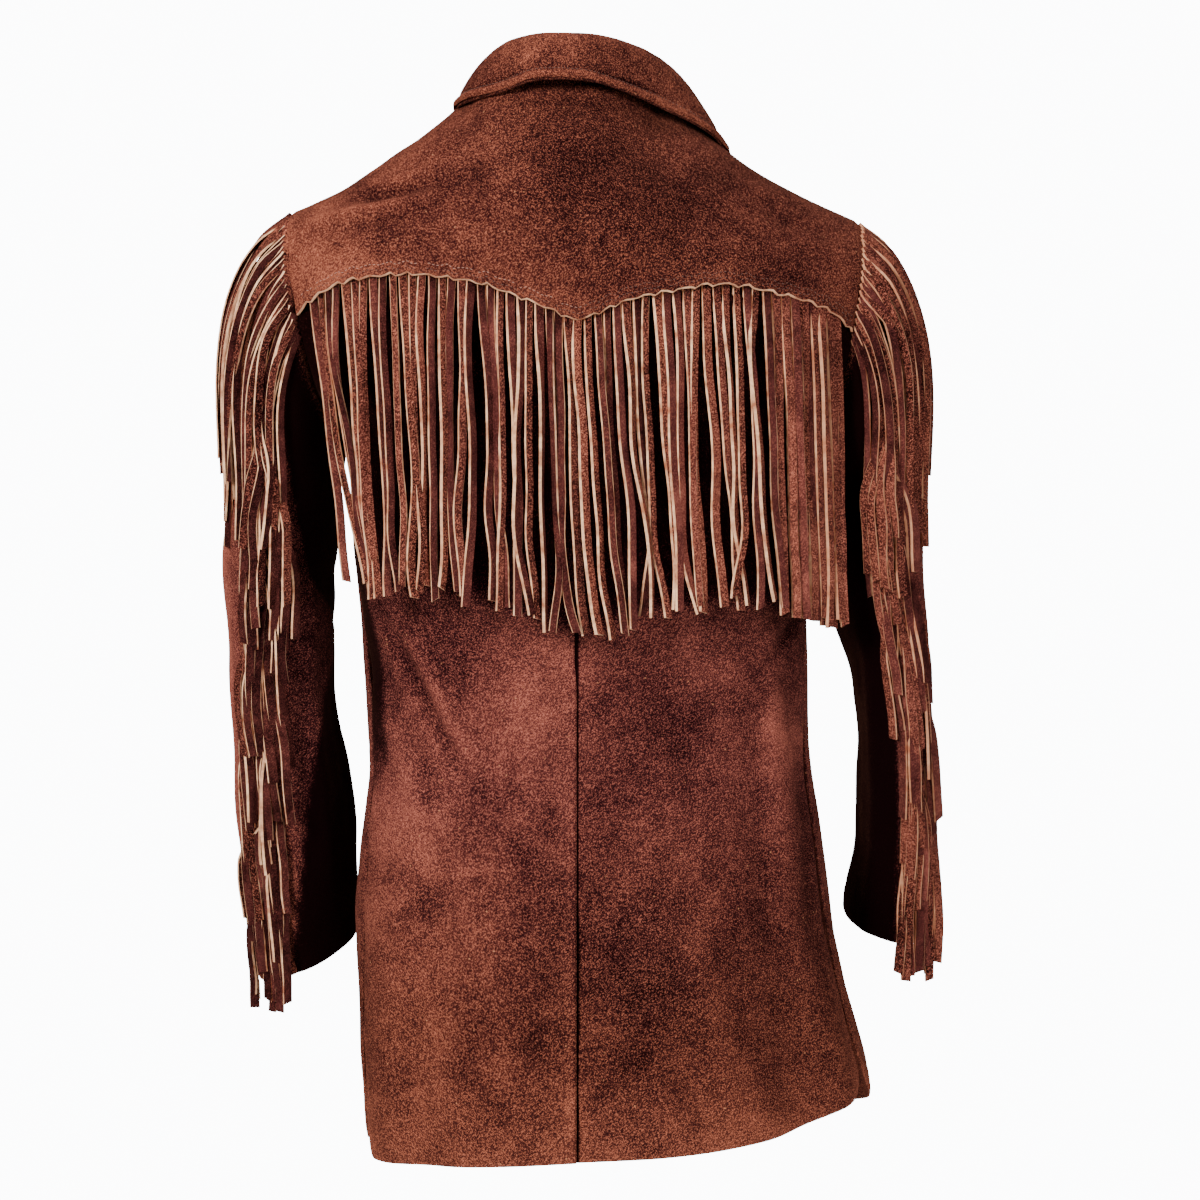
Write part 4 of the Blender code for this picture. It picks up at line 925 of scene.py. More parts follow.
def make_yoke(fringe):
    """The yoke over the fringe's roots. Returns its outer points."""
    grid = refined(yoke_sheet())
    gaps = distances(grid)
    out = away(grid)
    run = gaps["first"]
    # the raw edge waves a little between the strips of the fringe
    turns = run * 2 * math.pi
    wave = 0.0011 * np.sin(turns / EDGE_WAVE + 1.3 * np.sin(run * 31.0)) + 0.0006 * np.sin(turns / 0.0111)
    grid[..., 2] += wave * np.exp(-gaps["low"] / 0.003)
    folds = creased(grid, YOKE_CREASES)
    moved = hand(grid, 7) + folds
    moved += 0.0016 * (1.0 - ease(gaps["low"] / 0.016))
    moved += 0.0008 * np.sin(turns / EDGE_WAVE + 0.8) * np.exp(-gaps["low"] / 0.005)
    for row, depth in zip(YOKE_ROWS, (0.00045, 0.00035)):
        moved -= depth * ridge(gaps["low"], row, 0.0012)
    moved += rolled_edges(gaps, first=SEAM_ROLL, last=SEAM_ROLL, high=TOP_ROLL)
    tone = worn(grid, YOKE_WEAR_AND_LIGHT) + 0.10 * np.exp(-gaps["low"] / 0.008) + folds * CREASE_LIGHT_AND_SHADE["yoke"]
    made, outer = panel("yoke_back", grid, out, moved, tone, "cut_edge_dyed", ("low",), 0.0020, True)
    declared(outer)
    return outer


def make_front(side):
    """One front, with the left one lapped over the right. Returns its outer points."""
    shares = np.concatenate(([-0.0925, -0.0462], fine_shares()))
    rises = np.concatenate((np.linspace(0.0, 1.0, 26), np.linspace(1.0, 2.0, 20)[1:]))
    grid = refined(quarter(side, FRONT, rises, shares))
    gaps = distances(grid)
    folds = creased(grid, FRONT_CREASES[side])
    moved = hand(grid, HAND_SEEDS[side, FRONT]) + folds
    moved += rolled_edges(gaps, last=SEAM_ROLL, low=HEM_ROLL, high=TOP_ROLL, first=(0.0006, 0.003))
    moved -= 0.0004 * ridge(gaps["first"], FRONT_ROW, 0.0012) + 0.0005 * ridge(gaps["low"], HEM_ROW, 0.0022)
    if side == "left":
        moved += (WALL + UNDER) * ease((0.070 - grid[..., 0]) / 0.032)
    tone = hem_tone(gaps["low"], 0.40) + 0.10 + 0.14 * np.exp(-gaps["first"] / 0.010)
    tone += folds * CREASE_LIGHT_AND_SHADE["front"]
    made, outer = panel(f"front_{side}", grid, away(grid), moved, tone)
    declared(outer)
    return outer


# ---------------------------------------------------------------- sleeves
# the fold pressed down the left sleeve: heights, and how far across it is there
LEFT_SLEEVE_FOLD = (-0.72, -0.465, -0.43, -0.39, -0.24), (0.238, 0.203, 0.196, 0.214, 0.238)


def sleeve_creases(side):
    """Folds of a worn sleeve: at the armpit, round the elbow, and long ones down the forearm."""
    shift = 0.010 if side == "left" else -0.006

    def mark(turn, height):
        down = SLEEVE_TOP - height
        fall = 1.0 + down / (SLEEVE_TOP - cuff_height(side, turn)) if down > 0.0 else 1.0 + down / 0.20
        return sleeve(side, turn, max(0.05, fall))

    lines = (
        (((120, -0.375), (150, -0.395), (190, -0.4)), 0.009, -0.0026),
        (((100, -0.41), (140, -0.43), (185, -0.44)), 0.01, 0.0018),
        (((215, -0.47), (250, -0.49), (290, -0.485)), 0.009, -0.003),
        (((210, -0.505), (245, -0.52), (285, -0.51)), 0.01, 0.0022),
        (((235, -0.535), (265, -0.545), (300, -0.53)), 0.009, -0.0026),
        (((20, -0.45), (50, -0.49), (60, -0.54)), 0.011, -0.0016),
        (((330, -0.3), (345, -0.38), (350, -0.46)), 0.012, -0.0016),
        (((300, -0.56), (315, -0.62), (310, -0.67)), 0.011, 0.0015),
        (((30, -0.57), (38, -0.63), (35, -0.69)), 0.012, 0.0016),
        (((126, -0.4), (129, -0.54), (131, -0.69)), 0.0065, 0.0024),
        (((160, -0.48), (170, -0.56), (165, -0.64)), 0.012, -0.0022))
    return [([mark(turn, height + shift) for turn, height in line], width, out) for line, width, out in lines]


def make_sleeve_piece(side, name, start, end):
    """The piece of a sleeve between two seams, given by their turns."""
    under = name == "sleeve_under"
    falls = np.concatenate((np.linspace(0.0, 1.0, 14), np.linspace(1.0, 2.0, 22)[1:]))
    turns = np.linspace(start + 0.2, end - 0.2, 26)
    if under:   # it goes on beneath the top piece
        turns = np.concatenate(([start - 7.0, start - 3.4], turns, [end + 3.4, end + 7.0]))
    grid = refined([[sleeve(side, turn, fall) for turn in turns] for fall in falls])
    grid = np.concatenate((grid[:1] + 0.006 * unit(grid[:1] - grid[1:2]), grid))   # the seam's allowance
    gaps = distances(grid)
    table = SLEEVES[side]
    out = grid - np.array((SIGN[side] * (table["inner"][3] + table["outer"][3]) / 2, 0.0, 0.0))
    out[..., 1] -= np.interp(grid[..., 2], table["height"], table["middle"])
    out[..., 2] = 0.0
    folds = creased(grid, sleeve_creases(side))
    moved = hand(grid, 22 if under else 21) + folds
    seam = (0.0038, 0.0110) if under else (0.0010, 0.004)
    moved += rolled_edges(gaps, low=(0.0034, 0.0105), first=seam, last=seam, high=(0.0006, 0.003))
    moved -= 0.0005 * ridge(gaps["high"], 0.022, 0.0020)
    tone = hem_tone(gaps["high"], 0.35) + folds * CREASE_LIGHT_AND_SHADE["sleeve"]
    sunk = FRINGE_ROOM * ease((gaps["low"] - 0.004) / 0.030) * ease((grid[..., 2] + 0.37) / 0.07)
    if under:
        # behind the pressed fold the sleeve falls in, and the hide there is painted dark as shade
        past = gaps["first"] - 0.010
        if side == "left":
            past = np.interp(grid[..., 2], *LEFT_SLEEVE_FOLD) - grid[..., 0]
        near = ease((0.135 - gaps["first"]) / 0.045) * ease((gaps["low"] - 0.006) / 0.02)
        moved += 0.0016 * ridge(past, 0.0, 0.006) * near * (grid[..., 2] < -0.43)
        moved -= sunk * ease((0.060 - gaps["first"]) / 0.045)
        tone = tone - 1.8 * ease(past / 0.005) * near - 0.45 * ease((gaps["first"] - 0.010) / 0.020) * near
    else:
        turned = gaps["last"] / gaps["last"][:, :1]   # 0 at the back seam, 1 at the front one
        moved -= sunk * ease((0.80 - turned) / 0.18)
        # painted highlight down the sleeve's outer side, where the key light falls: strong on the left sleeve, slight
        # on the right
        tone = tone + 0.06 + (0.95 if side == "left" else 0.10) * ridge(turned, 0.42, 0.20)
    made, outer = panel(f"{name}_{side}", grid, out, moved, tone)
    declared(outer)


# ---------------------------------------------------------------- collar
NECK_CENTRE = 0.010


def collar_columns():
    turns = np.concatenate((np.linspace(0.0, 90.0, 17), np.linspace(90.0, LEAF_END, 15)[1:]))
    return [("right", turn) for turn in turns[::-1]] + [("left", turn) for turn in turns[1:]]


def make_collar_stand():
    """The band that stands in the neck."""
    grid = []
    for part in np.linspace(0.0, 1.0, 8):
        line = []
        for side, turn in collar_columns():
            foot, top = neck(side, turn), fold_point(side, turn)
            inwards = unit(np.array((NECK_CENTRE, 0.0, 0.0)) - foot * (1.0, 1.0, 0.0))
            foot = foot + inwards * 0.0024 - (0.0, 0.0, 0.007)
            line.append(foot + (top - foot) * part)
        grid.append(line)
    grid = refined(grid, 0.0045)
    moved = hand(grid, 31, 0.0004) + rolled(distances(grid)["low"], 0.0004, 0.002)
    made, outer = panel("collar_stand", grid, away(grid, NECK_CENTRE), moved, -0.15)
    declared(outer)


def tree_of(*names):
    """The outside of solids as one surface, to lay things on."""
    vertices, faces = [], []
    for name in names:
        data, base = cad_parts[name].data, len(vertices)
        vertices += [vertex.co.copy() for vertex in data.vertices]
        faces += [[base + index for index in polygon.vertices] for polygon in data.polygons]
    return BVHTree.FromPolygons(vertices, faces)


def laid_on(tree, point, clear):
    """A point moved out, if it has to be, until it is clear of the body's outside."""
    outward = Vector((point[0] - NECK_CENTRE, point[1], 0.06)).normalized()
    hit = tree.ray_cast(Vector(point) + outward * 0.06, -outward)
    if hit[0] is None:
        return point
    gap = (Vector(point) - hit[0]).dot(hit[1] if hit[1].dot(outward) > 0 else -hit[1])
    return point if gap >= clear else np.array(Vector(point) + outward * (clear - gap))


def leaf_sheet(tree, extra=0.0, inset=0.0):
    """The inside of the collar's leaf; `extra` makes it longer, `inset` lays it lower."""
    rows = []
    for part in np.linspace(0.0, 1.0, 9):
        line = []
        for side, turn in collar_columns():
            start = fold_point(side, turn) + (0.0, 0.0, 0.0005)
            end = leaf_edge(side, turn)
            end = end + unit(end - start) * extra
            length = np.linalg.norm(end - start)
            outward = unit((end - start) * (1.0, 1.0, 0.0))
            over = unit(outward + np.array((0.0, 0.0, 0.35))) * length * 0.9
            down = unit(outward * 0.45 + np.array((0.0, 0.0, -1.0))) * length * 0.9
            point = hermite(start, end, over, down, part)
            clear = 0.0024 + 0.0034 * float(ease((turn - 95.0) / 30.0)) - inset
            line.append(laid_on(tree, point, clear) if part > 0.15 else point)
        rows.append(line)
    return refined(rows, 0.0042)


def make_collar_fall():
    """The leaf, with a row of stitching inside its edge, and the edge of its facing just showing under it."""
    tree = tree_of("yoke_back", "front_left", "front_right", "back_left", "back_right")
    grid = leaf_sheet(tree)
    gaps = distances(grid)
    rim = np.minimum(np.minimum(gaps["high"], gaps["first"]), gaps["last"])
    out = away(grid, NECK_CENTRE) + (0.0, 0.0, 0.05)
    moved = hand(grid, 33, 0.0007) + WALL
    moved += 0.0013 * ease((0.0085 - rim) / 0.0025) * ease(rim / 0.0015)
    moved += rolled(rim, 0.0009, 0.0025) - 0.0015 * ridge(rim, 0.0092, 0.0014)
    # painted highlight on the band inside the edge and painted shade in the stitched groove
    tone = 0.40 * ease((0.0080 - rim) / 0.002) - 0.8 * ridge(rim, 0.0094, 0.0014)
    tone += 0.26 * np.exp(-gaps["low"] / 0.016)
    for spot in ((0.036, 0.066, 0.020), (0.006, 0.068, 0.021)):   # worn pale where the fold is pinched
        tone += 0.80 * ridge(np.linalg.norm((grid - spot) * (1.0, 0.6, 1.0), axis=2), 0.0, 0.0075)
    outer = grid + normals_of(grid, out) * moved[..., None]
    mesh = bmesh.new()
    add_wall(mesh, outer, outer - normals_of(outer, out) * HIDE, tone)
    facing = leaf_sheet(tree, 0.0016, 0.0016)
    inwards = -normals_of(facing, away(facing, NECK_CENTRE) + (0.0, 0.0, 0.05))
    facing, inwards = (facing + inwards * 0.0001)[-5:], inwards[-5:]
    add_wall(mesh, facing, facing + inwards * 0.0011, -0.25)
    made = finished(mesh, "collar_fall", ("suede_brushed", "cut_edge"))
    worn_edge(made)
    declared(outer)
    return outer


# ---------------------------------------------------------------- fringes
STRIP_CROWN = 0.0003       # how far a strip's middle line stands out
SLANT = 0.0016             # how far from square a strip's end is cut, at most
FORM_STEP = 3.0            # degrees between the columns of a sleeve's form
STEPS, SHORT_STEPS = 34, 24   # points along a long strip and along a short one
END_TONE = 0.06            # how much paler a strip is at its end than at its root


def square_to(forward, vectors):
    """The part of each vector that is at right angles to its way forward, made 1 long."""
    return unit(vectors - forward * np.sum(vectors * forward, axis=1, keepdims=True))


def strip(mesh, path, across, facing, width, thickness, tone, brushed, slant):
    """One cut strip: a band along a path, its outer face a little narrower, so that its raw sides show."""
    forward = unit(np.gradient(path, axis=0))
    across = square_to(forward, across)
    outward = np.cross(forward, across)
    outward *= np.sign(np.median(np.sum(outward * facing, axis=1)))
    half, rise = width / 2.0, outward * thickness / 2.0
    crown = outward * STRIP_CROWN
    # the knife leaned, so one raw side slopes more than the other
    outer = np.stack([path + rise - across * (half - 0.10 * thickness), path + rise + crown,
                      path + rise + across * (half - 0.58 * thickness)], axis=1)
    inner = np.stack([path - rise - across * half, path - rise + crown, path - rise + across * half], axis=1)
    for sheet in (outer, inner):
        sheet[-1] += forward[-1] * slant * np.array(((-1.0,), (0.0,), (1.0,)))
    add_wall(mesh, outer, inner, np.array(tone)[:, None], ("first", "last", "low", "high"), brushed)


def draws(seed):
    """The two sources of chance of one fringe."""
    return random.Random(seed), np.random.default_rng(seed)


def fringe(mesh, name):
    return finished(mesh, name, ("suede_strip", "cut_edge"), sharp=30.0)


def cut(size, draw, widths, thicknesses, tones, shade, worn_share, slant=SLANT):
    """(width, thickness, tone, nap, slant) of a new strip, each drawn from its range in this order."""
    return (size.width * draw.uniform(*widths), size.thickness * draw.uniform(*thicknesses),
            draw.uniform(*tones) + shade, worn_strip(draw, worn_share), draw.uniform(-slant, slant))


def wander(draw, count, waves, size):
    """A smooth random line that starts at 0."""
    t = np.linspace(0.0, 1.0, count)
    line = np.zeros(count)
    for k in range(1, waves + 1):
        line += draw.uniform(-1.0, 1.0) / k * np.sin(t * k * math.pi * 1.3 + draw.uniform(0.0, 6.3))
    return (line - line[0]) * size


def turn_of_strip(draw):
    """How far round a strip has turned: most show a little of their left side, some hang edge on."""
    kind = draw.random()
    if kind < 0.72:
        return draw.gauss(17.0, 11.0)
    return draw.uniform(-34.0, 0.0) if kind < 0.88 else draw.uniform(44.0, 80.0)


def worn_strip(draw, share):
    """How brushed a strip is: a share of them show their brushed side, the others their smooth one."""
    return draw.uniform(0.65, 1.0) if draw.random() < share else draw.uniform(0.0, 0.25)


def make_back_fringe():
    """The long fringe under the yoke's edge, hanging free from shoulder to shoulder."""
    size = bpy.context.scene.jacket_fringe
    draw, numbers = draws(size.seed)
    tree = tree_of("fringe_back")
    shares = np.linspace(0.0, 0.935, 30)
    line = np.array([body(side, BACK, share, yoke_rise(side, share))
                     for side, part in (("right", shares[::-1]), ("left", shares[1:])) for share in part])
    low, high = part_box("fringe_back")

    def depth_at(x, z):
        """How far back the solid of the fringe reaches there."""
        x = min(max(x, low[0] + 0.004), high[0] - 0.004)
        z = min(z, float(np.interp(x, line[:, 0], line[:, 2])) - 0.006)
        for lift in (0.0, 0.004, 0.010, 0.020, 0.035):
            hit = tree.ray_cast(Vector((x, 0.4, z + lift)), Vector((0.0, -1.0, 0.0)))[0]
            if hit is not None:
                return hit[1]
        return None

    count = int(travelled(line)[-1] / size.pitch)
    t = np.linspace(0.0, 1.0, STEPS)
    mesh = bmesh.new()
    lean = 0.0
    doubled = [k + 0.5 for k in range(int(0.10 * count))]   # a second layer at the right end
    for i in doubled + list(range(count)):
        root = along(line, (i + 0.5) / count)
        lean = 0.72 * lean + draw.gauss(0.0, 0.0036)
        length = size.back_length + draw.uniform(-0.006, 0.005)
        if root[0] > 0.178:
            length -= draw.uniform(0.0, 0.045)
        drift = -0.009 - 0.30 * max(0.0, root[0] - 0.150)
        free = 1.0 if root[0] > -0.15 else 0.35
        sway = wander(numbers, STEPS, 3, draw.uniform(0.0012, 0.0036) * free)
        sway = sway + wander(numbers, STEPS, 6, 0.0034) * t * free + (lean * free + drift) * t**1.3
        sway += draw.gauss(0.0, 0.0040) * free * np.maximum(t - 0.68, 0.0) ** 2 * 10.0
        turn = turn_of_strip(draw)
        turn = min(turn, 20.0) if abs(root[0] + 0.02) > 0.125 else turn
        turns = turn * ease(t / draw.uniform(0.06, 0.30))
        turns += wander(numbers, STEPS, 3, draw.choice((5.0, 10.0, 22.0)))
        layer = draw.uniform(0.0012, 0.0056) + (0.0030 if i in doubled else 0.0)
        xs = root[0] + sway
        zs = root[2] + 0.006 - t * (length + 0.006)
        ys = []
        for x, z in zip(xs, zs):
            found = depth_at(x, z) if z <= root[2] - 0.004 else root[1] + 0.0042
            ys.append((root[1] + 0.004 if found is None else found) - layer)
        # the roots go in under the yoke's edge
        out = ease((root[2] - zs) / 0.030)
        ys = np.array(ys) * out + (root[1] - 0.0030) * (1.0 - out) + wander(numbers, STEPS, 3, 0.0010) * out
        beside = [depth_at(root[0] + step, root[2] - 0.05) for step in (-0.006, 0.006)]
        slope = 0.0 if None in beside else (beside[1] - beside[0]) / 0.012
        base = unit(np.array((1.0, 0.3 * slope, 0.0)))
        angle = np.radians(turns)[:, None]
        across = base * np.cos(angle) + np.array((-base[1], base[0], 0.0)) * np.sin(angle)
        shade = draw.uniform(-0.22, 0.16) + (0.10 if root[0] < -0.06 else 0.0)
        # painted shadow at each strip's root, under the yoke's edge
        shade = shade - 0.40 * np.exp(-np.maximum(root[2] - zs, 0.0) / 0.010) + END_TONE * t
        width = size.width * (draw.uniform(0.80, 1.06) + (0.12 if root[0] < -0.14 else 0.0))
        strip(mesh, np.stack((xs, ys, zs), axis=1), across, (0.0, 1.0, 0.0), width,
              size.thickness * draw.uniform(0.70, 1.15), shade,
              worn_strip(draw, 0.70 if root[0] < -0.05 else 0.45), draw.uniform(-SLANT, SLANT))
    return fringe(mesh, "fringe_back")


class SleeveForm:
    """A sleeve's outside, looked up by turn and height, and straight down below the cuff."""

    def __init__(self, side):
        self.side = side
        self.turns = np.arange(-60.0, 151.0, FORM_STEP)
        falls = np.concatenate((np.linspace(0.0, 1.0, 26), np.linspace(1.0, 2.0, 20)[1:]))
        self.grid = np.array([[sleeve(side, turn, fall) for fall in falls] for turn in self.turns])
        self.normals = unit(np.cross(np.gradient(self.grid, axis=0), np.gradient(self.grid, axis=1)))
        self.normals *= np.sign(np.median(self.normals[20, :, 0])) * SIGN[side]

    def at(self, turn, height):
        """(point, outward direction) of the sleeve."""
        place = np.clip((turn - self.turns[0]) / FORM_STEP, 0.0, len(self.turns) - 1.001)
        i = int(place)
        found = []
        for column in (i, i + 1):
            heights = self.grid[column][:, 2]
            spot = np.interp(-height, -heights, np.arange(len(heights)))
            j = min(int(spot), len(heights) - 2)
            found.append([layer[column][j] + (layer[column][j + 1] - layer[column][j]) * (spot - j)
                          for layer in (self.grid, self.normals)])
        (a, a_out), (b, b_out) = found
        point, out = a + (b - a) * (place - i), a_out + (b_out - a_out) * (place - i)
        point[2] = height
        return point, unit(out)


def hung_strip(mesh, form, turns, heights, clear, twist, *made):
    """A strip that leaves a sleeve's seam and hangs down over the sleeve. `made` is what cut() gives."""
    path, across, facing = [], [], []
    for turn, height, gap in zip(turns, heights, clear):
        point, out = form.at(turn, height)
        path.append(point + out * gap)
        across.append(unit(form.at(turn - FORM_STEP * SIGN[form.side], height)[0] - point))
        facing.append(out)
    path = np.array(path)
    forward = unit(np.gradient(path, axis=0))
    angle = np.radians(twist)[:, None]
    flat_on, edge_on = (square_to(forward, np.array(ways)) for ways in (across, facing))
    strip(mesh, path, flat_on * np.cos(angle) + edge_on * np.sin(angle), facing, *made)


def make_armhole_fringe(side, form):
    """Strips that spill out of the armhole seam over the sleeve's head."""
    size = bpy.context.scene.jacket_fringe
    left = side == "left"
    draw, numbers = draws(size.seed + (5 if left else 9))
    marks = np.linspace(-36.0, 97.0, 60)
    lengths = travelled(np.array([armhole(side, mark) for mark in marks]))
    count = int(lengths[-1] / size.arm_pitch)
    mesh = bmesh.new()
    t = np.linspace(0.0, 1.0, STEPS)
    for i in range(count):
        turn0 = float(np.interp((i + 0.5) / count * lengths[-1], lengths, marks))
        top = armhole(side, turn0)[2] - 0.0005
        length = size.arm_length + draw.uniform(-0.030, 0.010) + (0.030 * (i % 3 == 1) if turn0 > 25.0 else 0.0)
        heights = top - length * t**1.15
        sway = wander(numbers, STEPS, 4, draw.uniform(1.5, 5.0)) + draw.gauss(0.0, 5.5) * t**1.3
        turns = turn0 + sway * ease(t / 0.2)
        layer = (0.0008, 0.0025, 0.0041)[i % 3] + draw.uniform(-0.0006, 0.0006)
        clear = -0.0008 + (layer + 0.0008) * ease(t / 0.16) + wander(numbers, STEPS, 2, 0.0008) * ease(t / 0.3)
        hung = turn_of_strip(draw) * 0.8
        twist = draw.uniform(20.0, 52.0) * (1.0 - ease(t / 0.22)) + hung * ease(t / 0.22)
        twist += wander(numbers, STEPS, 3, 18.0)
        # behind the shoulder the strips turn their sides to the back
        turned_to = 0.24 * (90.0 - turn0) - 13.0 if left else -0.40 * (90.0 - turn0) - 28.0
        twist += float(ease((turn0 + 8.0) / 36.0)) * turned_to
        hung_strip(mesh, form, turns, heights, clear, twist,
                   *cut(size, draw, (0.84, 1.04), (0.60, 1.05), (-0.34, 0.08), (-0.14 if left else 0.08) + END_TONE * t,
                        0.3 if left else 0.6))
    return fringe(mesh, f"fringe_armhole_{side}")


def make_sleeve_fringe(side, form):
    """Shorter strips from the sleeve's back seam, each tier over the roots of the next."""
    size = bpy.context.scene.jacket_fringe
    left = side == "left"
    draw, numbers = draws(size.seed + (15 if left else 19))
    top, foot = -0.250, -0.665 if left else -0.640
    lowest = CUFFS[side]["height"] - (0.052 if left else 0.045)
    middles = (56.0, 72.0, 86.0) if left else (66.0, 72.0, 80.0)
    count = int((top - foot) / size.sleeve_pitch)
    mesh = bmesh.new()
    t = np.linspace(0.0, 1.0, SHORT_STEPS)
    for i in reversed(range(count)):
        root = top + (foot - top) * i / (count - 1)
        length = draw.uniform(0.100, 0.150)
        length = min(length, root - lowest - draw.uniform(0.0, 0.022))
        heights = root - length * t
        # the lower strips hang nearer the sleeve's outer edge, as the arm bends forward
        middle = float(np.interp(root - 0.6 * length, (-0.70, -0.55, -0.40), middles))
        lean = middle - BACK_SEAM + draw.uniform(-21.0, 23.0)
        turns = BACK_SEAM - 1.0 + lean * ease(t / 0.55) + wander(numbers, SHORT_STEPS, 3, 2.0) * ease(t / 0.3)
        clear = 0.0006 + draw.uniform(0.0045, 0.0100) * ease(t / 0.8) + wander(numbers, SHORT_STEPS, 2, 0.0008) * t
        hung = draw.gauss(2.0, 13.0) if draw.random() < 0.92 else draw.uniform(40.0, 70.0)
        twist = hung * ease(t / 0.35) + 25.0 * (1.0 - ease(t / 0.25)) + (12.0 if left else -24.0)
        hung_strip(mesh, form, turns, heights, clear, twist + wander(numbers, SHORT_STEPS, 3, 9.0),
                   *cut(size, draw, (1.0, 1.25), (0.60, 1.0), (-0.42, 0.04), (-0.12 if left else 0.16) + END_TONE * t,
                        0.20 if left else 0.55, 0.0018))
    return fringe(mesh, f"fringe_sleeve_{side}")


# ---------------------------------------------------------------- stitches and buttons
def add_stitches(mesh, line, outwards, skip, seed):
    """A row of stitches sunk into the hide along a line of points, with some left out."""
    size = bpy.context.scene.jacket_stitch
    draw = random.Random(seed)
    lengths = travelled(line)
    pitch, step = size.length + size.gap, size.length / lengths[-1] / 2.0
    for k in range(int(lengths[-1] / pitch)):
        if draw.random() < skip:
            continue
        share = (k + 0.5) * pitch / lengths[-1]
        start, middle, end = (along(line, place) for place in (share - step, share, share + step))
        up = unit(np.array([np.interp(share * lengths[-1], lengths, outwards[:, axis]) for axis in range(3)]))
        forward = unit(end - start)
        beside = np.cross(up, forward)
        for vertex in bmesh.ops.create_icosphere(mesh, subdivisions=1, radius=1.0)["verts"]:
            x, y, z = vertex.co
            vertex.co = Vector(middle + forward * x * size.length / 2 + beside * y * size.radius
                               + up * (z * size.radius + size.radius * 0.25))


def thread_object(name, rows, finish):
    mesh = bmesh.new()
    for seed, (line, outwards, skip) in enumerate(rows, 3):
        add_stitches(mesh, line, outwards, skip, seed)
    return finished(mesh, name, (finish,), (), 60.0)


def row_at(outer, distance, key, first=0.0, last=1.0):
    """A line on a panel at a distance from one of its edges, and its outward directions."""
    gaps = distances(outer)[key]
    normals = normals_of(outer, away(outer, 0.005) + (0.0, 0.0, 0.04))
    columns = key in ("low", "high")
    count = outer.shape[1] if columns else outer.shape[0]
    points, outs = [], []
    for k in range(count):
        reach = gaps[:, k] if columns else gaps[k]
        order = np.argsort(reach)
        for layer, kept in ((outer, points), (normals, outs)):
            values = layer[:, k] if columns else layer[k]
            kept.append([np.interp(distance, reach[order], values[order, axis]) for axis in range(3)])
    points, outs = np.array(points), np.array(outs)
    start, stop = int(first * (count - 1)), int(last * (count - 1)) + 1
    return points[start:stop], outs[start:stop]


def make_stitches(yoke, fronts, leaf):
    """Topstitching along the yoke's edge, the fronts and the collar. Each row's last number is the share of
    its stitches that are gone."""
    pale = [(*row_at(yoke, YOKE_ROWS[0], "low", 0.50, 0.97), 0.16)]
    brown = [(*row_at(yoke, YOKE_ROWS[0], "low", 0.03, 0.50), 0.05),
             (*row_at(yoke, YOKE_ROWS[1], "low", 0.03, 0.97), 0.10)]
    for outer in fronts.values():
        brown.append((*row_at(outer, FRONT_ROW, "first"), 0.0))
        brown.append((*row_at(outer, HEM_ROW, "low", 0.02, 0.97), 0.0))
    for edge, first, last in (("high", 0.02, 0.98), ("first", 0.0, 0.86), ("last", 0.0, 0.86)):
        brown.append((*row_at(leaf, LEAF_ROW, edge, first, last), 0.0))
    thread_object("stitches_pale", pale, "thread_pale")
    thread_object("stitches_brown", brown, "thread_brown")


def painted(vertices, index):
    """Gives the faces of new vertices one of the object's materials."""
    for face in {face for vertex in vertices for face in vertex.link_faces}:
        face.material_index = index


def make_buttons():
    """Four-hole horn buttons, sewn on with crossed thread."""
    for name in sorted(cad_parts):
        if name.startswith("button_"):
            make_button(name)


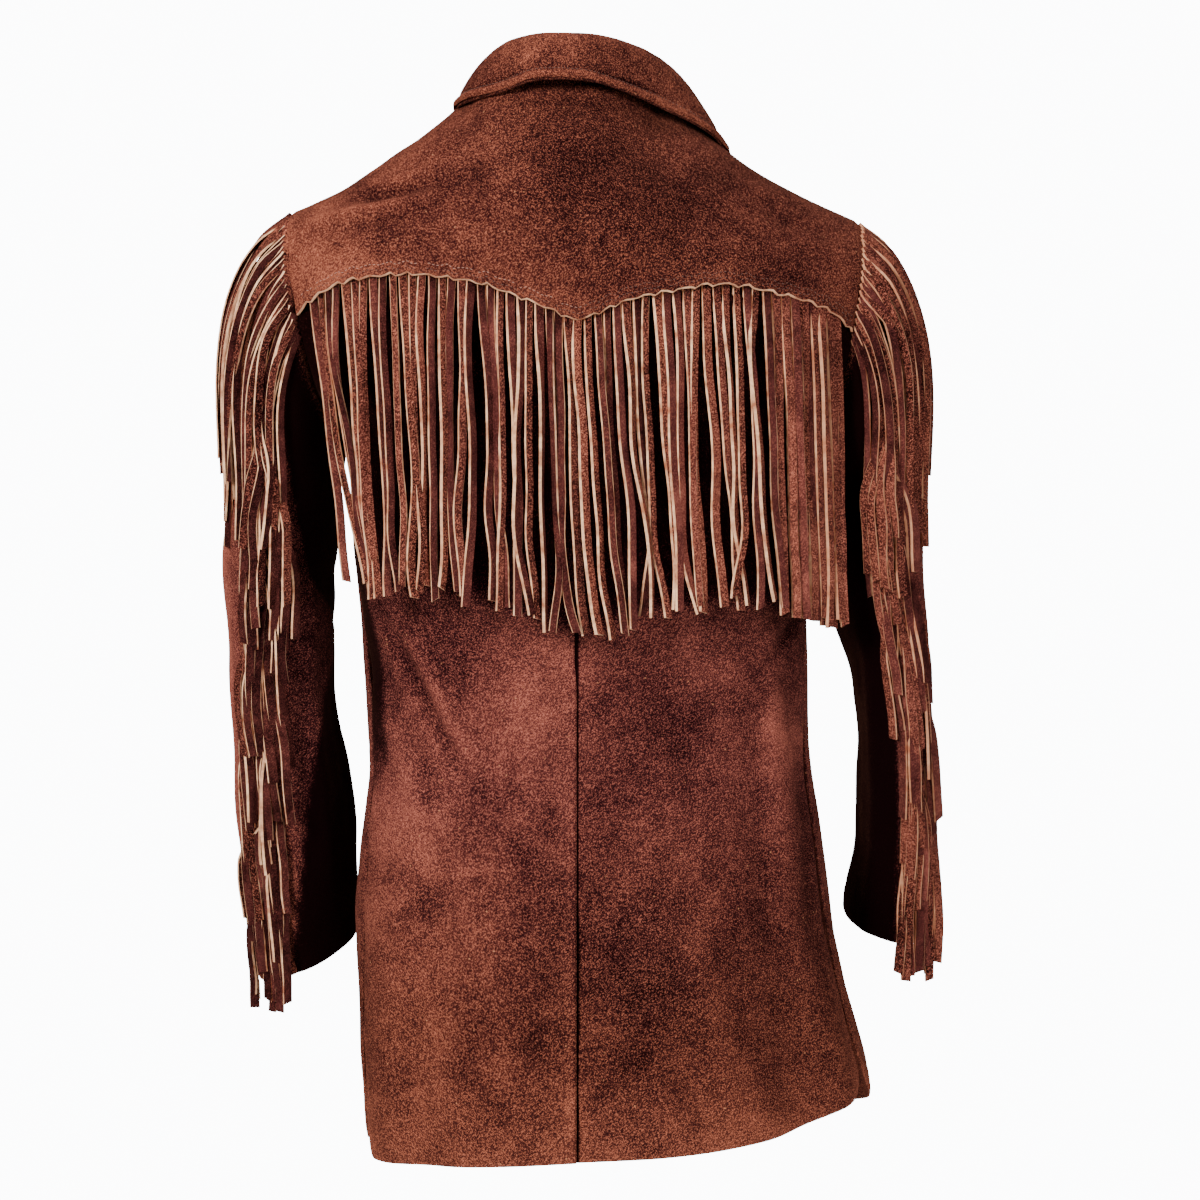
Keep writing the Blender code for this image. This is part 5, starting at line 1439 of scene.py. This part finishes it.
def make_button(name):
    """A button in the place of its solid: its size and the way it faces are the solid's."""
    points = np.array([vertex.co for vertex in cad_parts[name].data.vertices])
    low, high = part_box(name)
    centre = (np.array(low) + np.array(high)) / 2.0
    _, _, axes = np.linalg.svd(points - points.mean(axis=0))
    out = axes[2] if axes[2][1] < 0.0 else -axes[2]
    along_axis = (points - centre) @ out
    radius = float(np.max(np.linalg.norm((points - centre) - np.outer(along_axis, out), axis=1)))
    half = float(np.max(np.abs(along_axis)))
    right = unit(np.cross((0.0, 0.0, 1.0), out))
    up = np.cross(out, right)
    mesh = bmesh.new()
    bmesh.ops.create_cone(mesh, cap_ends=True, segments=40, radius1=radius * 0.93, radius2=radius,
                          depth=half * 1.6)
    top = max(mesh.faces, key=lambda face: face.calc_center_median().z)
    for inwards, rise in ((0.12, 0.35), (0.16, -0.10), (0.10, -0.45)):   # a rim round a shallow dish
        bmesh.ops.inset_region(mesh, faces=[top], thickness=radius * inwards, depth=half * rise)
    rim = [edge for edge in mesh.edges if len(edge.link_faces) == 2 and edge.calc_face_angle(0.0) > 0.5]
    bmesh.ops.bevel(mesh, geom=rim, offset=radius * 0.03, segments=2, profile=0.5, affect="EDGES", material=-1)
    hole = radius * 0.24
    for x in (-hole, hole):
        for y in (-hole, hole):
            pit = bmesh.ops.create_cone(mesh, cap_ends=True, segments=12, radius1=radius * 0.10,
                                        radius2=radius * 0.10, depth=half * 0.5)["verts"]
            bmesh.ops.translate(mesh, verts=pit, vec=(x, y, half * 0.32))
            painted(pit, 1)
    thick, diagonal = radius * 0.07, 0.7071
    for way in (-1.0, 1.0):
        bar = bmesh.ops.create_icosphere(mesh, subdivisions=2, radius=1.0)["verts"]
        for vertex in bar:
            x, y, z = vertex.co
            forward, beside = x * hole * 1.5, y * thick
            vertex.co = ((forward - way * beside) * diagonal, (forward * way + beside) * diagonal,
                         half * 0.62 + z * thick)
        painted(bar, 2)
    for vertex in mesh.verts:
        x, y, z = vertex.co
        vertex.co = Vector(centre + right * x + up * y + out * z)
    bmesh.ops.recalc_face_normals(mesh, faces=mesh.faces[:])
    finished(mesh, name + "_horn", ("horn_dark", "thread_brown", "thread_pale"), (name,), 35.0)


# ---------------------------------------------------------------- studio
def make_floor(height):
    mesh = bmesh.new()
    bmesh.ops.create_circle(mesh, cap_ends=True, segments=96, radius=2.4)
    data = bpy.data.meshes.new("floor")
    mesh.to_mesh(data)
    mesh.free()
    make = Finish("studio_floor")
    colour = make.blend(make.noise(3.0), (0.80, 0.81, 0.83, 1.0), (0.86, 0.87, 0.88, 1.0))
    make.set(Base_Color=colour, Roughness=0.9)
    data.materials.append(make.material)
    data.transform(Matrix.Translation((0.0, 0.0, height)))
    placed("floor", data)


def make_world(fill):
    """A dim light from all round, and a bright backdrop that only the camera sees."""
    world = bpy.context.scene.world or bpy.data.worlds.new("studio")
    bpy.context.scene.world = world
    world.use_nodes = True
    tree = world.node_tree
    tree.nodes.clear()
    end = tree.nodes.new("ShaderNodeOutputWorld")
    mix = tree.nodes.new("ShaderNodeMixShader")
    tree.links.new(tree.nodes.new("ShaderNodeLightPath").outputs["Is Camera Ray"], mix.inputs[0])
    for index, colour, strength in ((1, (0.90, 0.94, 1.0, 1.0), fill), (2, (0.93, 0.945, 0.965, 1.0), 13.0)):
        light = tree.nodes.new("ShaderNodeBackground")
        light.inputs["Color"].default_value = colour
        light.inputs["Strength"].default_value = strength
        tree.links.new(light.outputs[0], mix.inputs[index])
    tree.links.new(mix.outputs[0], end.inputs["Surface"])


def make_studio():
    """A pale floor under the jacket, soft lights and the camera behind it."""
    size = bpy.context.scene.jacket_studio
    make_floor(size.floor_height)
    make_world(size.fill)

    aim = Vector((0.0, 0.05, -0.42))
    for name, place, width, share, colour in (   # share: of the main light's power
            ("key", (1.8, 2.2, 0.65), 1.1, 1.0, (1.0, 0.97, 0.93)),
            ("fill_right", (-1.9, 2.0, 0.1), 1.2, 0.38, (1.0, 0.97, 0.95)),
            ("top", (0.2, 0.3, 1.9), 1.6, 0.34, (0.97, 0.98, 1.0)),
            ("front_left", (1.6, -2.4, 0.5), 1.6, 0.55, (1.0, 0.98, 0.95)),
            ("front_right", (-1.8, -2.1, 0.2), 1.6, 0.22, (1.0, 0.98, 0.96))):
        lamp = bpy.data.lights.new(name, "AREA")
        lamp.shape, lamp.size, lamp.energy, lamp.color = "DISK", width, size.key * share, colour
        made = placed(name, lamp)
        made.location = place
        made.rotation_euler = (aim - Vector(place)).to_track_quat("-Z", "Y").to_euler()

    lens = bpy.data.cameras.new("camera")
    lens.sensor_width, lens.lens = 36.0, size.lens
    camera = placed("camera", lens)
    camera.location = (size.camera_across, size.camera_back, size.camera_height)
    camera.rotation_euler = (math.pi / 2, 0.0, math.pi)
    bpy.context.scene.camera = camera


# ---------------------------------------------------------------- settings
def colour_property(name, description, default):
    return FloatVectorProperty(name=name, description=description, subtype="COLOR", size=3, min=0.0, max=1.0,
                               default=default)


def length_property(name, description, default):
    return FloatProperty(name=name, description=description, default=default, min=0.0, unit="LENGTH", precision=4)


def place_property(name, description, default):
    return FloatProperty(name=name, description=description, default=default, unit="LENGTH")


class JACKET_PG_suede(bpy.types.PropertyGroup):
    dark: colour_property("Dark", "Suede where the nap lies away from the light", (0.0175, 0.0041, 0.0046))
    middle: colour_property("Middle", "Suede's usual colour", (0.070, 0.0185, 0.0140))
    light: colour_property("Light", "Suede where the nap catches the light", (0.280, 0.084, 0.048))
    fleck: colour_property("Fleck", "Odd pale fibres", (0.46, 0.19, 0.095))
    strip_dark: colour_property("Strip dark", "Fringe in the hollows of its nap", (0.0115, 0.0030, 0.0027))
    strip_middle: colour_property("Strip middle", "Fringe's usual colour", (0.082, 0.0215, 0.0160))
    strip_light: colour_property("Strip light", "Fringe where it is worn", (0.350, 0.107, 0.066))
    edge: colour_property("Cut edge", "The pale core of the hide", (1.0, 0.62, 0.37))
    # the brown that the cut edges take towards both ends of the yoke and on the right sleeve
    edge_shade: colour_property("Cut edge in shade", "The core where dye has run into it", (0.36, 0.12, 0.06))


class JACKET_PG_fringe(bpy.types.PropertyGroup):
    width: length_property("Width", "Width of one strip", 0.0070)
    thickness: length_property("Thickness", "Thickness of one strip", 0.0020)
    pitch: length_property("Back pitch", "From one strip of the back fringe to the next", 0.0079)
    arm_pitch: length_property("Armhole pitch", "From one strip of an armhole's fringe to the next", 0.0056)
    sleeve_pitch: length_property("Sleeve pitch", "From one strip of a sleeve's fringe to the next", 0.0056)
    back_length: length_property("Back length", "Length of the back fringe", 0.247)
    arm_length: length_property("Armhole length", "How far an armhole's fringe hangs down", 0.216)
    seed: IntProperty(name="Seed", description="Another number hangs the strips another way", default=4, min=0)


class JACKET_PG_stitch(bpy.types.PropertyGroup):
    length: length_property("Length", "Length of one stitch", 0.0026)
    gap: length_property("Gap", "From one stitch to the next", 0.0010)
    radius: length_property("Radius", "Half the thread's thickness", 0.00030)


class JACKET_PG_studio(bpy.types.PropertyGroup):
    floor_height: place_property("Floor", "Height of the floor", -1.46)
    key: FloatProperty(name="Key", description="Power of the main light", default=132.0, min=0.0, unit="POWER")
    fill: FloatProperty(name="Fill", description="Strength of the light from all round", default=0.05, min=0.0)
    lens: FloatProperty(name="Lens", description="Focal length in millimetres", default=84.6, min=10.0)
    camera_across: place_property("Camera across", "Place of the camera along X", -0.018)
    camera_back: place_property("Camera back", "Place of the camera along Y", 2.30)
    camera_height: place_property("Camera height", "Place of the camera along Z", -0.408)


# ---------------------------------------------------------------- operators
KEPT = {}   # sheets that a later operator stitches or hangs things on


class JacketOperator(bpy.types.Operator):
    """What the operators share: each has a `make` of its own"""
    bl_options = {"REGISTER", "UNDO"}

    def execute(self, context):
        self.make()
        return {"FINISHED"}


class JACKET_OT_studio(JacketOperator):
    """Make the floor, the lights and the camera"""
    bl_idname = "jacket.studio"
    bl_label = "Studio"

    def make(self):
        make_studio()


class JACKET_OT_back(JacketOperator):
    """Make the two halves of the back"""
    bl_idname = "jacket.back"
    bl_label = "Back"

    def make(self):
        for side in SIDES:
            make_back(side)


class JACKET_OT_yoke(JacketOperator):
    """Make the pointed back yoke and the fringe under its edge"""
    bl_idname = "jacket.yoke"
    bl_label = "Yoke and Back Fringe"

    def make(self):
        KEPT["yoke"] = make_yoke(make_back_fringe())


class JACKET_OT_fronts(JacketOperator):
    """Make the two fronts"""
    bl_idname = "jacket.fronts"
    bl_label = "Fronts"

    def make(self):
        KEPT["fronts"] = {side: make_front(side) for side in SIDES}


class JACKET_OT_sleeves(JacketOperator):
    """Make the sleeves and their fringes"""
    bl_idname = "jacket.sleeves"
    bl_label = "Sleeves and Fringes"

    def make(self):
        for side in SIDES:
            form = SleeveForm(side)
            fringes = (make_armhole_fringe(side, form), make_sleeve_fringe(side, form))
            make_sleeve_piece(side, "sleeve_top", FRONT_SEAM - 360.0, BACK_SEAM)
            make_sleeve_piece(side, "sleeve_under", BACK_SEAM, FRONT_SEAM)


class JACKET_OT_collar(JacketOperator):
    """Make the collar's stand and leaf"""
    bl_idname = "jacket.collar"
    bl_label = "Collar"

    def make(self):
        make_collar_stand()
        KEPT["leaf"] = make_collar_fall()


class JACKET_OT_stitches(JacketOperator):
    """Sew the topstitching on yoke, fronts and collar"""
    bl_idname = "jacket.stitches"
    bl_label = "Stitches"

    def make(self):
        make_stitches(KEPT["yoke"], KEPT["fronts"], KEPT["leaf"])


class JACKET_OT_buttons(JacketOperator):
    """Make the buttons of the left front"""
    bl_idname = "jacket.buttons"
    bl_label = "Buttons"

    def make(self):
        make_buttons()


OPERATORS = (JACKET_OT_studio, JACKET_OT_back, JACKET_OT_yoke, JACKET_OT_fronts, JACKET_OT_sleeves,
             JACKET_OT_collar, JACKET_OT_stitches, JACKET_OT_buttons)
GROUPS = {"jacket_suede": JACKET_PG_suede, "jacket_fringe": JACKET_PG_fringe, "jacket_stitch": JACKET_PG_stitch,
          "jacket_studio": JACKET_PG_studio}


class JACKET_PT_panel(bpy.types.Panel):
    """Settings and pieces of the jacket"""
    bl_label = "Suede Jacket"
    bl_idname = "JACKET_PT_panel"
    bl_space_type = "VIEW_3D"
    bl_region_type = "UI"
    bl_category = "Jacket"

    def draw(self, context):
        for operator in OPERATORS:
            self.layout.operator(operator.bl_idname)
        for name in GROUPS:
            settings = getattr(context.scene, name)
            box = self.layout.box()
            for key in settings.bl_rna.properties.keys():
                if key not in ("rna_type", "name"):
                    box.prop(settings, key)


def register():
    for cls in (*GROUPS.values(), *OPERATORS, JACKET_PT_panel):
        bpy.utils.register_class(cls)
    for name, group in GROUPS.items():
        setattr(bpy.types.Scene, name, PointerProperty(type=group))


def unregister():
    for name in GROUPS:
        delattr(bpy.types.Scene, name)
    for cls in (JACKET_PT_panel, *OPERATORS[::-1], *list(GROUPS.values())[::-1]):
        bpy.utils.unregister_class(cls)


def main():
    register()
    for operator in OPERATORS:
        module, name = operator.bl_idname.split(".")
        getattr(getattr(bpy.ops, module), name)()


if __name__ == "__main__":
    main()
